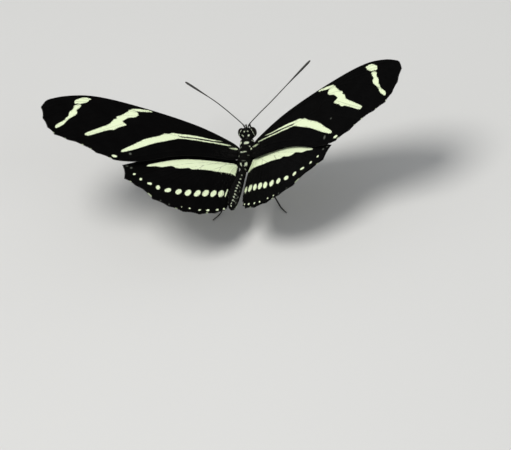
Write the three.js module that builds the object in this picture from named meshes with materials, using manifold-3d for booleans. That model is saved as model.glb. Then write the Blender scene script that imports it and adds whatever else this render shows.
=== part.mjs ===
// Zebra longwing butterfly, life size, standing with half-raised wings.
// Millimetres, +Z up, +Y towards the head, the floor at z = 0, the origin on
// the floor under the middle of the outline.
import * as THREE from 'three';
import { mergeVertices } from 'three/addons/utils/BufferGeometryUtils.js';
import Module from 'manifold-3d';

const wasm = await Module();
wasm.setup();

// ---------------------------------------------------------------- sizes (mm)
const STANCE_HEIGHT = 10.5;          // thorax reference point above the floor
const PLAN_X = -0.157;               // plan offset of the thorax point, so that
const PLAN_Y = 1.456;                // the origin is under the outline's middle
const WING_THICKNESS = 0.5;
const FORE_CAMBER = 0.2;             // degrees of bend per mm of span
const HIND_CAMBER = 0.37;
// wing pose: elevation at the hinge, twist about the span and sweep in
// degrees, then the hinge shift forward and up in mm
const FORE_POSE = {
  left: { elevation: 34.1, twist: 3.1, sweep: -0.3, forward: 0.1, up: -2.9 },
  right: { elevation: 33.3, twist: 10.8, sweep: 0.3, forward: -0.25, up: -2.35 },
};
const HIND_POSE = {
  left: { elevation: 32.1, twist: -6.7, sweep: 0.5, forward: -0.45, up: -4.0 },
  right: { elevation: 29.5, twist: -5.8, sweep: -0.5, forward: 0.45, up: -3.6 },
};
const EYE = { out: 1.14, radius: [0.86, 0.94, 1.22], gap: 0.16 };
const HEAD = { centre: [-0.2, 6.0, -1.05] };
const LEG = { femur: 0.36, knee: 0.28, tibia: 0.27, tarsus: 0.27 };
const ANTENNA = { stem: 0.26, club: 0.42 };

const group = new THREE.Group();
group.position.set(PLAN_X, PLAN_Y, STANCE_HEIGHT);
const colour = {
  wing: new THREE.Color(0.03, 0.028, 0.026),
  body: new THREE.Color(0.05, 0.048, 0.044),
  eye: new THREE.Color(0.03, 0.02, 0.015),
  leg: new THREE.Color(0.05, 0.045, 0.04),
};

// ------------------------------------------------------------ mesh helpers
// closed body from triangles; slivers with two equal corners are dropped
function solid(triangles) {
  const pos = [];
  const key = (p) => p.map((c) => Math.round(c * 2000)).join();
  for (const [a, b, c] of triangles) {
    const [ka, kb, kc] = [key(a), key(b), key(c)];
    if (ka === kb || kb === kc || ka === kc) continue;
    pos.push(...a, ...b, ...c);
  }
  const g = new THREE.BufferGeometry();
  g.setAttribute('position', new THREE.Float32BufferAttribute(pos, 3));
  return mergeVertices(g, 6e-4);
}

// skin over a row of closed rings, with a cap point at each end
function ringBody(rings, first, last) {
  const out = [];
  const n = rings[0].length;
  for (let i = 0; i + 1 < rings.length; i++) {
    for (let j = 0; j < n; j++) {
      const k = (j + 1) % n;
      out.push([rings[i][j], rings[i + 1][k], rings[i][k]]);
      out.push([rings[i][j], rings[i + 1][j], rings[i + 1][k]]);
    }
  }
  for (let j = 0; j < n; j++) {
    const k = (j + 1) % n;
    out.push([first, rings[0][j], rings[0][k]]);
    out.push([last, rings[rings.length - 1][k], rings[rings.length - 1][j]]);
  }
  return out;
}

const volume = (triangles) => triangles.reduce((v, [a, b, c]) => v
  + a[0] * (b[1] * c[2] - b[2] * c[1]) - a[1] * (b[0] * c[2] - b[2] * c[0])
  + a[2] * (b[0] * c[1] - b[1] * c[0]), 0) / 6;
const outward = (triangles) => (volume(triangles) > 0 ? triangles
  : triangles.map(([a, b, c]) => [a, c, b]));

// round limb along a smooth curve; radius is a function of the share of
// length, and points that would sink under the floor are laid flat on it
function limb(points, radius, { sections = 20, sides = 8, floor = null, flat = 1 } = {}) {
  const curve = new THREE.CatmullRomCurve3(points.map((p) => new THREE.Vector3(...p)), false, 'centripetal');
  const frames = curve.computeFrenetFrames(sections, false);
  const rings = [];
  const at = (u) => curve.getPointAt(Math.min(1, Math.max(0, u)));
  const ringAt = (u, f, scale) => {
    const c = at(u);
    const r = radius(u) * scale;
    const ring = [];
    for (let j = 0; j < sides; j++) {
      const a = (j / sides) * 2 * Math.PI;
      const p = c.clone()
        .addScaledVector(frames.normals[f], Math.cos(a) * r)
        .addScaledVector(frames.binormals[f], Math.sin(a) * r * flat);
      ring.push([p.x, p.y, floor !== null && p.z < floor + 0.1 ? floor : p.z]);
    }
    return ring;
  };
  const length = curve.getLength();
  const tip = (u) => (radius(u) * 0.75) / length;
  rings.push(ringAt(0, 0, 0.62));
  for (let i = 0; i <= sections; i++) {
    let u = i / sections;
    if (i === 0) u = tip(0);
    if (i === sections) u = 1 - tip(1);
    rings.push(ringAt(u, i, 1));
  }
  rings.push(ringAt(1, sections, 0.62));
  const a = at(0).addScaledVector(frames.tangents[0], -radius(0) * 0.22);
  const b = at(1).addScaledVector(frames.tangents[sections], radius(1) * 0.22);
  const lift = (p) => [p.x, p.y, floor !== null && p.z < floor + 0.1 ? floor + 0.1 : p.z];
  return outward(ringBody(rings, lift(a), lift(b)));
}

// body section ring in the plane y = const, a little squarer than an ellipse
function section(x, y, z, w, up, down, sides = 20, square = 2.2) {
  const ring = [];
  for (let j = 0; j < sides; j++) {
    const a = (j / sides) * 2 * Math.PI;
    const c = Math.cos(a);
    const s = Math.sin(a);
    ring.push([
      x + w * Math.sign(c) * Math.abs(c) ** (2 / square),
      y,
      z + (s > 0 ? up : down) * Math.sign(s) * Math.abs(s) ** (2 / square),
    ]);
  }
  return ring;
}

// smooth body through stations [x, y, z, half width, up, down]
function bodyLoft(stations, steps, endLength = 0.12, sides = 20) {
  const curve = (k) => stations.map((s) => s[k]);
  const value = (list, u) => {
    const f = u * (list.length - 1);
    const i = Math.min(list.length - 2, Math.floor(f));
    const t = f - i;
    const p0 = list[Math.max(0, i - 1)];
    const p1 = list[i];
    const p2 = list[i + 1];
    const p3 = list[Math.min(list.length - 1, i + 2)];
    return 0.5 * (2 * p1 + (p2 - p0) * t + (2 * p0 - 5 * p1 + 4 * p2 - p3) * t * t
      + (3 * p1 - p0 - 3 * p2 + p3) * t * t * t);
  };
  const columns = [0, 1, 2, 3, 4, 5].map(curve);
  const rings = [];
  for (let i = 0; i <= steps; i++) {
    const [x, y, z, w, up, down] = columns.map((c) => value(c, i / steps));
    rings.push(section(x, y, z, w, up, down, sides));
  }
  const a = stations[0];
  const b = stations[stations.length - 1];
  return outward(ringBody(rings,
    [a[0], a[1] + endLength, a[2]], [b[0], b[1] - endLength, b[2]]));
}

function ellipsoid(centre, radius, around = 20, down = 12) {
  const g = new THREE.SphereGeometry(1, around, down);
  g.scale(...radius);
  g.translate(...centre);
  return g;
}

// ------------------------------------------------------- joining and cutting
function toManifold(geometry) {
  let g = geometry.clone();
  g.deleteAttribute('normal');
  g.deleteAttribute('uv');
  g = mergeVertices(g, 1e-5);
  return new wasm.Manifold(new wasm.Mesh({
    numProp: 3,
    vertProperties: new Float32Array(g.attributes.position.array),
    triVerts: new Uint32Array(g.index.array),
  }));
}
function fromManifold(m) {
  const mesh = m.getMesh();
  const g = new THREE.BufferGeometry();
  g.setAttribute('position', new THREE.BufferAttribute(new Float32Array(mesh.vertProperties), 3));
  g.setIndex(new THREE.BufferAttribute(new Uint32Array(mesh.triVerts), 1));
  return g;
}

function add(name, geometry, color, roughness) {
  const g = geometry.index ? geometry.toNonIndexed() : geometry;
  g.computeVertexNormals();
  const mesh = new THREE.Mesh(g, new THREE.MeshStandardMaterial({ color, roughness, metalness: 0 }));
  mesh.name = name;
  group.add(mesh);
  return mesh;
}

// ------------------------------------------------------------------- wings
// Wing outlines are in the flat wing: s outward from the body's middle plane,
// t forward. Each is two edges from the root to the tip: a smooth front edge,
// and a rear edge of smooth stretches and of scallops between vein ends.
const FORE = {
  front: [[2.15, 2.7], [4, 3.35], [8, 4.25], [12, 4.8], [18, 5.1], [26, 5.2],
    [31, 5.05], [35, 4.45], [38.5, 3.2], [41.15, 1.85], [43.05, 0.45], [43.95, -1.9]],
  rear: [[2.15, -0.8], [4, -1.9], [8.5, -3.2], [12.5, -4.6], [16, -6.4], [19, -8.4],
    [22, -10.1], [25, -11.2], [27.1, -11.6]],
  veinEnds: [[27.1, -11.6], [30.8, -10.95], [33.9, -9.75], [37.1, -9.4], [40.1, -8.75],
    [41.8, -7.2], [43.15, -4.9], [43.95, -1.9]],
  scallop: 0.22,
};
const HIND = {
  front: [[2.3, -0.6], [3.2, 0.1], [5, 0.3], [9, -0.55], [13, -2.45], [17, -4.85], [21, -7.95],
    [23.4, -9.9], [24.7, -10.9]],
  inner: {
    right: [[2.3, -0.6], [2.25, -1.9], [1.7, -2.9], [1.15, -4.4], [1.3, -8.5], [1.6, -13.0], [2.35, -17.4]],
    left: [[2.3, -0.6], [2.25, -2.0], [1.62, -3.2], [1.5, -4.6], [2.2, -10.0], [2.42, -14.5], [2.0, -17.3]],
  },
  // vein ends from the inner corner round to the outer one
  margin: [[3.45, -18.95], [6.5, -20.8], [9.8, -21.45], [13.1, -20.95], [16.7, -19.95],
    [18.0, -18.4], [20.8, -16.85], [23.5, -15.4], [24.7, -10.9]],
  scallop: 0.26,
};

const smooth = (points, count) => new THREE.SplineCurve(points.map((p) => new THREE.Vector2(...p)))
  .getSpacedPoints(count).map((p) => [p.x, p.y]);

// margin between vein ends: straight runs that dip inward by the scallop depth
function scalloped(ends, depth, steps) {
  const out = [];
  for (let i = 0; i + 1 < ends.length; i++) {
    const [ax, ay] = ends[i];
    const [bx, by] = ends[i + 1];
    const l = Math.hypot(bx - ax, by - ay);
    const nx = -(by - ay) / l;
    const ny = (bx - ax) / l;
    // the margin bulges between far-apart ends and dips just beside each vein
    for (let k = 0; k < steps; k++) {
      const u = k / steps;
      const d = depth * Math.sin(Math.PI * u) ** 1 * (i % 2 ? 0.8 : 1);
      out.push([ax + (bx - ax) * u + nx * d, ay + (by - ay) * u + ny * d]);
    }
  }
  out.push(ends[ends.length - 1]);
  return out;
}

// same number of points along an edge, at equal shares of its length
function evenly(edge, count) {
  const at = [0];
  for (let i = 1; i < edge.length; i++) {
    at.push(at[i - 1] + Math.hypot(edge[i][0] - edge[i - 1][0], edge[i][1] - edge[i - 1][1]));
  }
  const total = at[at.length - 1];
  const out = [];
  for (let k = 0; k <= count; k++) {
    const want = (k / count) * total;
    let i = 1;
    while (i < at.length - 1 && at[i] < want) i++;
    const f = (want - at[i - 1]) / (at[i] - at[i - 1]);
    out.push([edge[i - 1][0] + (edge[i][0] - edge[i - 1][0]) * f,
      edge[i - 1][1] + (edge[i][1] - edge[i - 1][1]) * f]);
  }
  return out;
}

// point of the arched wing: (s, t) bent along the span, then twisted and set
function wingPoint(pose, camber, s, t, side) {
  const rad = Math.PI / 180;
  const c = Math.cos(pose.sweep * rad);
  const n = Math.sin(pose.sweep * rad);
  const s2 = c * s - n * t;
  const t2 = n * s + c * t;
  const k = camber * rad;
  const e = pose.elevation * rad;
  const x = (Math.sin(e) - Math.sin(e - k * s2)) / k;
  const z = (Math.cos(e - k * s2) - Math.cos(e)) / k;
  const slope = Math.tan(pose.twist * rad);
  const flat = 1 / Math.hypot(1, slope);
  return new THREE.Vector3(side * x, t2 * flat + pose.forward, z + t2 * flat * slope + pose.up);
}

function wingSolid(front, rear, pose, camber, side, across) {
  const n = front.length - 1;
  const top = [];
  const bottom = [];
  for (let i = 0; i <= n; i++) {
    top.push([]);
    bottom.push([]);
    for (let j = 0; j <= across; j++) {
      const f = j / across;
      const s = front[i][0] + (rear[i][0] - front[i][0]) * f;
      const t = front[i][1] + (rear[i][1] - front[i][1]) * f;
      const p = wingPoint(pose, camber, s, t, side);
      const ds = wingPoint(pose, camber, s + 0.01, t, side).sub(p);
      const dt = wingPoint(pose, camber, s, t + 0.01, side).sub(p);
      const normal = ds.cross(dt).normalize();
      if (normal.z < 0) normal.negate();
      const up = p.clone().addScaledVector(normal, WING_THICKNESS / 2);
      const low = p.clone().addScaledVector(normal, -WING_THICKNESS / 2);
      top[i].push([up.x, up.y, up.z]);
      bottom[i].push([low.x, low.y, low.z]);
    }
  }
  const out = [];
  const quad = (a, b, c, d) => { out.push([a, b, c], [a, c, d]); };
  for (let i = 0; i < n; i++) {
    for (let j = 0; j < across; j++) {
      quad(top[i][j], top[i][j + 1], top[i + 1][j + 1], top[i + 1][j]);
      quad(bottom[i][j], bottom[i + 1][j], bottom[i + 1][j + 1], bottom[i][j + 1]);
    }
    quad(top[i][0], top[i + 1][0], bottom[i + 1][0], bottom[i][0]);
    quad(top[i][across], bottom[i][across], bottom[i + 1][across], top[i + 1][across]);
  }
  for (let j = 0; j < across; j++) {
    quad(top[0][j], bottom[0][j], bottom[0][j + 1], top[0][j + 1]);
  }
  return solid(outward(out));
}

for (const [name, side] of [['left', -1], ['right', 1]]) {
  const foreFront = evenly(smooth(FORE.front, 60), 44);
  const foreRear = evenly([...smooth(FORE.rear, 30).slice(0, -1),
    ...scalloped(FORE.veinEnds, FORE.scallop, 4)], 44);
  add(`forewing_${name}`, wingSolid(foreFront, foreRear, FORE_POSE[name], FORE_CAMBER, side, 3),
    colour.wing, 0.85);
  const hindFront = evenly(smooth(HIND.front, 60), 44);
  const hindRear = evenly([...smooth(HIND.inner[name], 24).slice(0, -1),
    ...scalloped([HIND.inner[name][6], ...HIND.margin], HIND.scallop, 4)], 44);
  add(`hindwing_${name}`, wingSolid(hindFront, hindRear, HIND_POSE[name], HIND_CAMBER, side, 3),
    colour.wing, 0.85);
}

// -------------------------------------------------------------------- body
// stations: x, y, z of the axis, half width, height up, height down
const THORAX = [
  [-0.14, 4.52, -1.55, 1.1, 0.66, 0.75],
  [-0.1, 4.1, -1.68, 1.52, 0.9, 1.0],
  [-0.05, 3.3, -2.0, 1.62, 1.1, 1.3],
  [-0.02, 2.4, -2.3, 1.58, 1.48, 1.62],
  [0, 1.1, -2.5, 1.66, 1.98, 2.0],
  [0, -0.4, -2.55, 1.7, 2.12, 2.15],
  [0, -1.6, -2.6, 1.5, 1.72, 1.9],
  [0, -2.6, -2.6, 1.08, 1.05, 1.4],
  [-0.02, -3.1, -2.55, 0.72, 0.7, 0.85],
];
const ABDOMEN = [
  [-0.03, -3.45, -2.5, 0.6, 0.6, 0.62],
  [-0.04, -3.9, -2.5, 0.74, 0.74, 0.78],
  [-0.1, -5.2, -2.4, 0.8, 0.82, 0.86],
  [-0.26, -7.2, -2.15, 1.02, 1.04, 1.06],
  [-0.42, -9.2, -2.0, 1.2, 1.22, 1.22],
  [-0.6, -11.2, -2.0, 1.27, 1.27, 1.27],
  [-0.74, -13.0, -2.12, 1.2, 1.18, 1.2],
  [-0.84, -14.5, -2.3, 0.95, 0.93, 0.98],
  [-0.89, -15.5, -2.42, 0.5, 0.52, 0.56],
];
add('thorax', solid(bodyLoft(THORAX, 18, 0.14, 22)), colour.body, 0.8);
add('abdomen', solid(bodyLoft(ABDOMEN, 24, 0.2, 18)), colour.body, 0.8);

// head: broad behind the eyes, narrow between them, hollowed where they sit;
// stations as for the body
const HEAD_SHAPE = [
  [-0.2, 7.08, -1.22, 0.3, 0.36, 0.4],
  [-0.2, 6.85, -1.18, 0.62, 0.92, 0.95],
  [-0.2, 6.4, -1.1, 0.78, 1.28, 1.22],
  [-0.2, 6.0, -1.05, 1.0, 1.38, 1.28],
  [-0.2, 5.65, -1.06, 1.42, 1.3, 1.24],
  [-0.2, 5.35, -1.12, 1.6, 1.14, 1.14],
  [-0.2, 5.1, -1.25, 1.4, 0.88, 0.92],
  [-0.19, 4.95, -1.35, 0.95, 0.55, 0.6],
];
const headBody = toManifold(solid(bodyLoft(HEAD_SHAPE, 12, 0.06, 22)));
const eyeCentre = (side) => [HEAD.centre[0] + side * EYE.out, HEAD.centre[1] + 0.22, HEAD.centre[2] + 0.02];
let head = headBody;
for (const side of [-1, 1]) {
  head = head.subtract(toManifold(ellipsoid(eyeCentre(side), EYE.radius.map((r) => r + EYE.gap), 16, 11)));
}
add('head', fromManifold(head), colour.body, 0.8);
for (const [name, side] of [['left', -1], ['right', 1]]) {
  add(`eye_${name}`, ellipsoid(eyeCentre(side), EYE.radius, 16, 11), colour.eye, 0.15);
}

// --------------------------------------------------- antennae and mouth parts
const antennaRadius = (u) => ANTENNA.stem + (ANTENNA.club - ANTENNA.stem)
  * THREE.MathUtils.smoothstep(u, 0.68, 0.9) - (u > 0.93 ? (u - 0.93) * 2.2 : 0);
const ANTENNAE = {
  right: [[0.34, 7.12, 0.22], [2.2, 8.45, 1.35], [5.25, 10.95, 2.65], [9.4, 14.8, 4.4], [13.5, 18.6, 6.1]],
  left: [[-0.78, 7.12, 0.2], [-3.0, 9.15, 1.35], [-6.9, 12.9, 2.3], [-10.4, 15.65, 3.2], [-14.0, 18.35, 4.15]],
};
const PALP = [[0.4, 7.3, -2.0], [0.44, 7.72, -1.75], [0.44, 7.98, -1.1], [0.4, 8.08, -0.35]];
for (const [name, side] of [['left', -1], ['right', 1]]) {
  add(`antenna_${name}`, solid(limb(ANTENNAE[name], antennaRadius, { sections: 22, sides: 8 })),
    colour.body, 0.6);
  const points = PALP.map(([x, y, z]) => [HEAD.centre[0] + side * x, y, z]);
  add(`palp_${name}`, solid(limb(points, (u) => 0.3 - 0.04 * u, { sections: 8, sides: 8 })),
    colour.body, 0.8);
}
// tongue: a flat watch-spring coil under the head
const COIL = { centre: [-0.2, 6.5, -3.95], turns: 1.35, inner: 0.3, outer: 1.0, radius: 0.25 };
const coil = [];
for (let i = 0; i <= 18; i++) {
  const u = i / 18;
  const a = Math.PI * 0.5 + (1 - u) * COIL.turns * 2 * Math.PI;
  const r = COIL.inner + (COIL.outer - COIL.inner) * (1 - u);
  coil.push([COIL.centre[0], COIL.centre[1] + Math.cos(a) * r, COIL.centre[2] + Math.sin(a) * r]);
}
add('proboscis', solid(limb(coil, () => COIL.radius, { sections: 24, sides: 8 })), colour.leg, 0.5);

// -------------------------------------------------------------------- legs
// hip, thigh, knee, shin end and foot; the last stretch lies flat on the floor
const floor = -STANCE_HEIGHT;
const footZ = floor + 0.2;
const LEGS = {
  midleg: [[0.95, 0.75, -5.0], [2.6, 1.2, -5.2], [4.55, 1.75, -4.8], [5.0, 2.0, -5.2], [6.9, 3.0, -9.3],
    [7.35, 3.3, -10.1], [8.1, 3.95, footZ], [9.5, 5.1, footZ]],
  hindleg: [[0.9, -1.5, -4.95], [2.4, -3.1, -5.3], [3.9, -4.75, -4.9], [4.25, -5.15, -5.3], [6.0, -7.0, -9.3],
    [6.35, -7.4, -10.1], [6.9, -8.05, footZ], [7.9, -9.3, footZ]],
};
const legRadius = (u) => (u < 0.42 ? LEG.femur + (LEG.knee - LEG.femur) * (u / 0.42)
  : LEG.tibia);
for (const [name, side] of [['left', -1], ['right', 1]]) {
  for (const leg of ['midleg', 'hindleg']) {
    const points = LEGS[leg].map(([x, y, z]) => [side * x, y, z]);
    add(`${leg}_${name}`, solid(limb(points, legRadius, { sections: 26, sides: 8, floor })),
      colour.leg, 0.7);
  }
  // the reduced foreleg, folded forward against the breast
  const fore = [[0.5, 2.6, -4.6], [0.62, 3.5, -4.15], [0.6, 4.1, -3.75], [0.5, 3.9, -4.35]]
    .map(([x, y, z]) => [side * x, y, z]);
  add(`foreleg_${name}`, solid(limb(fore.slice(0, 3), (u) => 0.28 - 0.02 * u, { sections: 8, sides: 8 })),
    colour.leg, 0.7);
}

export default group;
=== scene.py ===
"""Zebra longwing butterfly: skin, coat of scales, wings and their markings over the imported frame.
Shapes are worked out in millimetres round the thorax point and turned into metres at the end."""
import math
import bpy
import numpy as np
from mathutils import Matrix, Vector


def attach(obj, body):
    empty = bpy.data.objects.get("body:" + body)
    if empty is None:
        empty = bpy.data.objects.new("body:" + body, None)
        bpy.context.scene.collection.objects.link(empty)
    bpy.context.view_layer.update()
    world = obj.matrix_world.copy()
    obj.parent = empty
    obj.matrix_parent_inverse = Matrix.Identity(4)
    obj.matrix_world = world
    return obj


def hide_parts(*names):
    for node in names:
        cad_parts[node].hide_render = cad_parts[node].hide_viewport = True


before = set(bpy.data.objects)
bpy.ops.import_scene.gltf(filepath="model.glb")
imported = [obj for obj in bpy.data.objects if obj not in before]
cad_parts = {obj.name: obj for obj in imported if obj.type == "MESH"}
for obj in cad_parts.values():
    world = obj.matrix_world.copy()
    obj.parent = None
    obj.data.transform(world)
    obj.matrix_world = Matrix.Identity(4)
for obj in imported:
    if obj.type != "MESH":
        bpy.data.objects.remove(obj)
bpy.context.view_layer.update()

rng = np.random.default_rng(20)
OFFSET = np.array([-0.157, 1.456, 10.5])     # thorax point in the row frame, mm
FLOOR = -10.5
LEFT, RIGHT = -1, 1

# ------------------------------------------------------------------ camera
YAW, PITCH, ROLL, DISTANCE, SCALE = 20.4, 40.0, -19.1, 900.0, 4.87
yaw, pitch, roll = (math.radians(a) for a in (YAW, PITCH, ROLL))
cam_back = np.array([math.sin(yaw) * math.cos(pitch), -math.cos(yaw) * math.cos(pitch), math.sin(pitch)])
level = np.array([math.cos(yaw), math.sin(yaw), 0.0])
upright = np.cross(cam_back, level)
cam_right = math.cos(roll) * level + math.sin(roll) * upright
cam_up = -math.sin(roll) * level + math.cos(roll) * upright
place = cam_back * DISTANCE + cam_right * (255.5 - 243.0) / SCALE - cam_up * (225.0 - 149.0) / SCALE
camera = bpy.data.objects.new("Camera", bpy.data.cameras.new("Camera"))
bpy.context.scene.collection.objects.link(camera)
camera.data.sensor_width = 36.0
camera.data.lens = SCALE * DISTANCE * 36.0 / 511.0
camera.data.clip_start, camera.data.clip_end = 0.05, 20.0
basis = Matrix(np.array([cam_right, cam_up, cam_back]).T.tolist()).to_4x4()
camera.matrix_world = Matrix.Translation(((place + OFFSET) * 0.001).tolist()) @ basis
bpy.context.scene.camera = camera


# ------------------------------------------------------------- small maths
def unit(v):
    return v / np.maximum(np.linalg.norm(v, axis=-1, keepdims=True), 1e-12)


def step(a, b, x):
    t = np.clip((x - a) / (b - a), 0, 1)
    return t * t * (3 - 2 * t)


def spline(points, per=8, closed=False):
    """Catmull-Rom curve through the points."""
    p = np.array(points, float)
    if closed:
        ext = np.vstack([p[-1:], p, p[:2]])
    else:
        ext = np.vstack([2 * p[:1] - p[1:2], p, 2 * p[-1:] - p[-2:-1]])
    out = []
    u = (np.arange(per) / per)[:, None]
    for i in range(1, len(ext) - 2):
        a, b, c, d = ext[i - 1], ext[i], ext[i + 1], ext[i + 2]
        out.append(0.5 * (2 * b + (c - a) * u + (2 * a - 5 * b + 4 * c - d) * u ** 2 + (3 * b - a - 3 * c + d) * u ** 3))
    if not closed:
        out.append(ext[-2:-1])
    return np.vstack(out)


def evenly(edge, count):
    """count + 1 points at equal shares of an edge's length."""
    edge = np.array(edge, float)
    at = np.concatenate([[0], np.cumsum(np.linalg.norm(np.diff(edge, axis=0), axis=1))])
    want = np.linspace(0, at[-1], count + 1)
    return np.stack([np.interp(want, at, edge[:, k]) for k in range(edge.shape[1])], 1)


def pchip(x, y, q):
    h = np.diff(x)
    d = np.diff(y, axis=0) / h[:, None]
    m = np.zeros_like(y)
    w1, w2 = (2 * h[1:] + h[:-1])[:, None], (h[1:] + 2 * h[:-1])[:, None]
    with np.errstate(all="ignore"):
        v = (w1 + w2) / (w1 / d[:-1] + w2 / d[1:])
    m[1:-1] = np.where(d[1:] * d[:-1] > 0, v, 0)
    m[0], m[-1] = d[0], d[-1]
    i = np.clip(np.searchsorted(x, q, side="right") - 1, 0, len(x) - 2)
    t, s = ((q - x[i]) / h[i])[:, None], h[i][:, None]
    return ((2 * t ** 3 - 3 * t ** 2 + 1) * y[i] + (t ** 3 - 2 * t ** 2 + t) * s * m[i]
            + (3 * t ** 2 - 2 * t ** 3) * y[i + 1] + (t ** 3 - t ** 2) * s * m[i + 1])


def to_segments(points, line, closed):
    """Distance from each 2-D point to a broken line."""
    a = np.array(line, float)
    b = np.roll(a, -1, axis=0) if closed else a[1:]
    a = a if closed else a[:-1]
    best = np.full(len(points), 1e9)
    for p, q in zip(a, b):
        e = q - p
        l2 = max((e ** 2).sum(), 1e-12)
        w = points - p
        t = np.clip(w @ e / l2, 0, 1)
        d2 = ((w - t[:, None] * e) ** 2).sum(1)
        np.minimum(best, d2, out=best)
    return np.sqrt(best)


def inside(points, loop):
    a = np.array(loop, float)
    b = np.roll(a, -1, axis=0)
    odd = np.zeros(len(points), bool)
    x, y = points[:, 0], points[:, 1]
    for (ax, ay), (bx, by) in zip(a, b):
        if ay == by:
            continue
        cross = ((ay > y) != (by > y)) & (x < (bx - ax) * (y - ay) / (by - ay) + ax)
        odd ^= cross
    return odd


def loop_depth(points, loop, reach=0.6):
    """How deep a point lies in a loop, in mm: above 0 inside, below 0 outside, held at -reach."""
    loop = np.array(loop, float)
    out = np.full(len(points), -reach)
    lo, hi = loop.min(0) - reach, loop.max(0) + reach
    near = ((points >= lo) & (points <= hi)).all(1)
    if near.any():
        p = points[near]
        d = to_segments(p, loop, True)
        out[near] = np.where(inside(p, loop), d, -np.minimum(d, reach))
    return out


def oval_depth(points, cx, cy, a, b, degrees, reach=0.6):
    r = math.radians(degrees)
    dx, dy = points[:, 0] - cx, points[:, 1] - cy
    u, v = dx * math.cos(r) + dy * math.sin(r), -dx * math.sin(r) + dy * math.cos(r)
    k = np.hypot(u / a, v / b) + 1e-9
    slope = np.hypot(u / a ** 2, v / b ** 2) / k + 1e-9
    return np.maximum((1 - k) / slope, -reach)


# ---------------------------------------------------------- mesh from arrays
def build(name, verts, corners, counts, uv=None, values=None, materials=(), which=None, smooth=True, vectors=None):
    """A mesh object from body-frame millimetres; values are numbers kept at the vertices."""
    me = bpy.data.meshes.new(name)
    co = (np.asarray(verts) + OFFSET) * 0.001
    me.vertices.add(len(co))
    me.vertices.foreach_set("co", co.astype(np.float32).ravel())
    corners, counts = np.asarray(corners, np.int32), np.asarray(counts, np.int32)
    me.loops.add(len(corners))
    me.loops.foreach_set("vertex_index", corners)
    me.polygons.add(len(counts))
    me.polygons.foreach_set("loop_start", (np.cumsum(counts) - counts).astype(np.int32))
    me.polygons.foreach_set("loop_total", counts)
    me.update(calc_edges=True)
    me.polygons.foreach_set("use_smooth", np.full(len(counts), smooth))
    for m in materials:
        me.materials.append(m)
    if which is not None:
        me.polygons.foreach_set("material_index", np.asarray(which, np.int32))
    if uv is not None:
        layer = me.uv_layers.new(name="OFBake")
        layer.uv.foreach_set("vector", np.clip(uv, 0.0005, 0.9995).astype(np.float32).ravel())
    for key, v in (values or {}).items():
        me.attributes.new(key, "FLOAT", "POINT").data.foreach_set("value", np.asarray(v, np.float32))
    for key, v in (vectors or {}).items():
        me.attributes.new(key, "FLOAT_VECTOR", "POINT").data.foreach_set("vector", np.asarray(v, np.float32).ravel())
    me.validate()
    me.update()
    ob = bpy.data.objects.new(name, me)
    bpy.context.scene.collection.objects.link(ob)
    return ob


class Parts:
    """Several shells gathered into one mesh."""

    def __init__(self):
        self.v, self.c, self.n, self.uv, self.which, self.values, self.size = [], [], [], [], [], {}, 0

    def add(self, verts, corners, counts, uv, which=0, **values):
        self.v.append(verts)
        self.c.append(np.asarray(corners) + self.size)
        self.n.append(counts)
        self.uv.append(uv)
        self.which.append(np.full(len(counts), which) if np.isscalar(which) else which)
        for k, x in values.items():
            self.values.setdefault(k, []).append(np.broadcast_to(np.asarray(x, float), (len(verts),)))
        self.size += len(verts)

    def make(self, name, materials, smooth=True):
        return build(name, np.vstack(self.v), np.concatenate(self.c), np.concatenate(self.n), np.vstack(self.uv),
                     {k: np.concatenate(x) for k, x in self.values.items()}, materials, np.concatenate(self.which), smooth)


def grid_faces(rows, cols, closed):
    """Corner lists of quads over rows x cols vertices, and the (row, col) of each corner with the seam's last column counted on."""
    i, j = np.meshgrid(np.arange(rows - 1), np.arange(cols if closed else cols - 1), indexing="ij")
    i, j = i.ravel(), j.ravel()
    ci = np.stack([i, i, i + 1, i + 1], 1)
    cj = np.stack([j, j + 1, j + 1, j], 1)
    return ci * cols + cj % cols, ci, cj


# ---------------------------------------------------------------- materials
def nodes_of(name):
    m = bpy.data.materials.new(name)
    m.use_nodes = True
    nt = m.node_tree
    shader = nt.nodes["Principled BSDF"]
    return m, nt, shader


def put(nt, kind, **settings):
    n = nt.nodes.new(kind)
    for k, v in settings.items():
        if k.startswith("in_"):
            key = k[3:]
            n.inputs[int(key) if key.isdigit() else key.replace("_", " ")].default_value = v
        else:
            setattr(n, k, v)
    return n


def attribute(nt, name):
    return put(nt, "ShaderNodeAttribute", attribute_name=name)


def maths(nt, op, a, b=None, clamp=False):
    n = put(nt, "ShaderNodeMath", operation=op, use_clamp=clamp)
    for k, v in enumerate((a, b)):
        if v is None:
            continue
        if isinstance(v, (int, float)):
            n.inputs[k].default_value = v
        else:
            nt.links.new(v, n.inputs[k])
    return n.outputs[0]


def ramp(nt, value, lo, hi, to_lo=0.0, to_hi=1.0):
    n = put(nt, "ShaderNodeMapRange", interpolation_type="SMOOTHSTEP", clamp=True)
    nt.links.new(value, n.inputs["Value"])
    for k, v in (("From Min", lo), ("From Max", hi), ("To Min", to_lo), ("To Max", to_hi)):
        n.inputs[k].default_value = v
    return n.outputs["Result"]


def mix(nt, factor, a, b, blend="MIX"):
    n = put(nt, "ShaderNodeMix", data_type="RGBA", blend_type=blend)
    for k, v in ((0, factor), (6, a), (7, b)):
        if isinstance(v, (int, float)):
            n.inputs[k].default_value = v
        elif isinstance(v, tuple):
            n.inputs[k].default_value = (*v, 1.0)
        else:
            nt.links.new(v, n.inputs[k])
    return n.outputs[2]


def noise(nt, scale, detail=3.0, vector=None, rough=0.55):
    n = put(nt, "ShaderNodeTexNoise", in_Scale=scale, in_Detail=detail, in_Roughness=rough)
    if vector is not None:
        nt.links.new(vector, n.inputs["Vector"])
    return n.outputs["Fac"]


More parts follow.
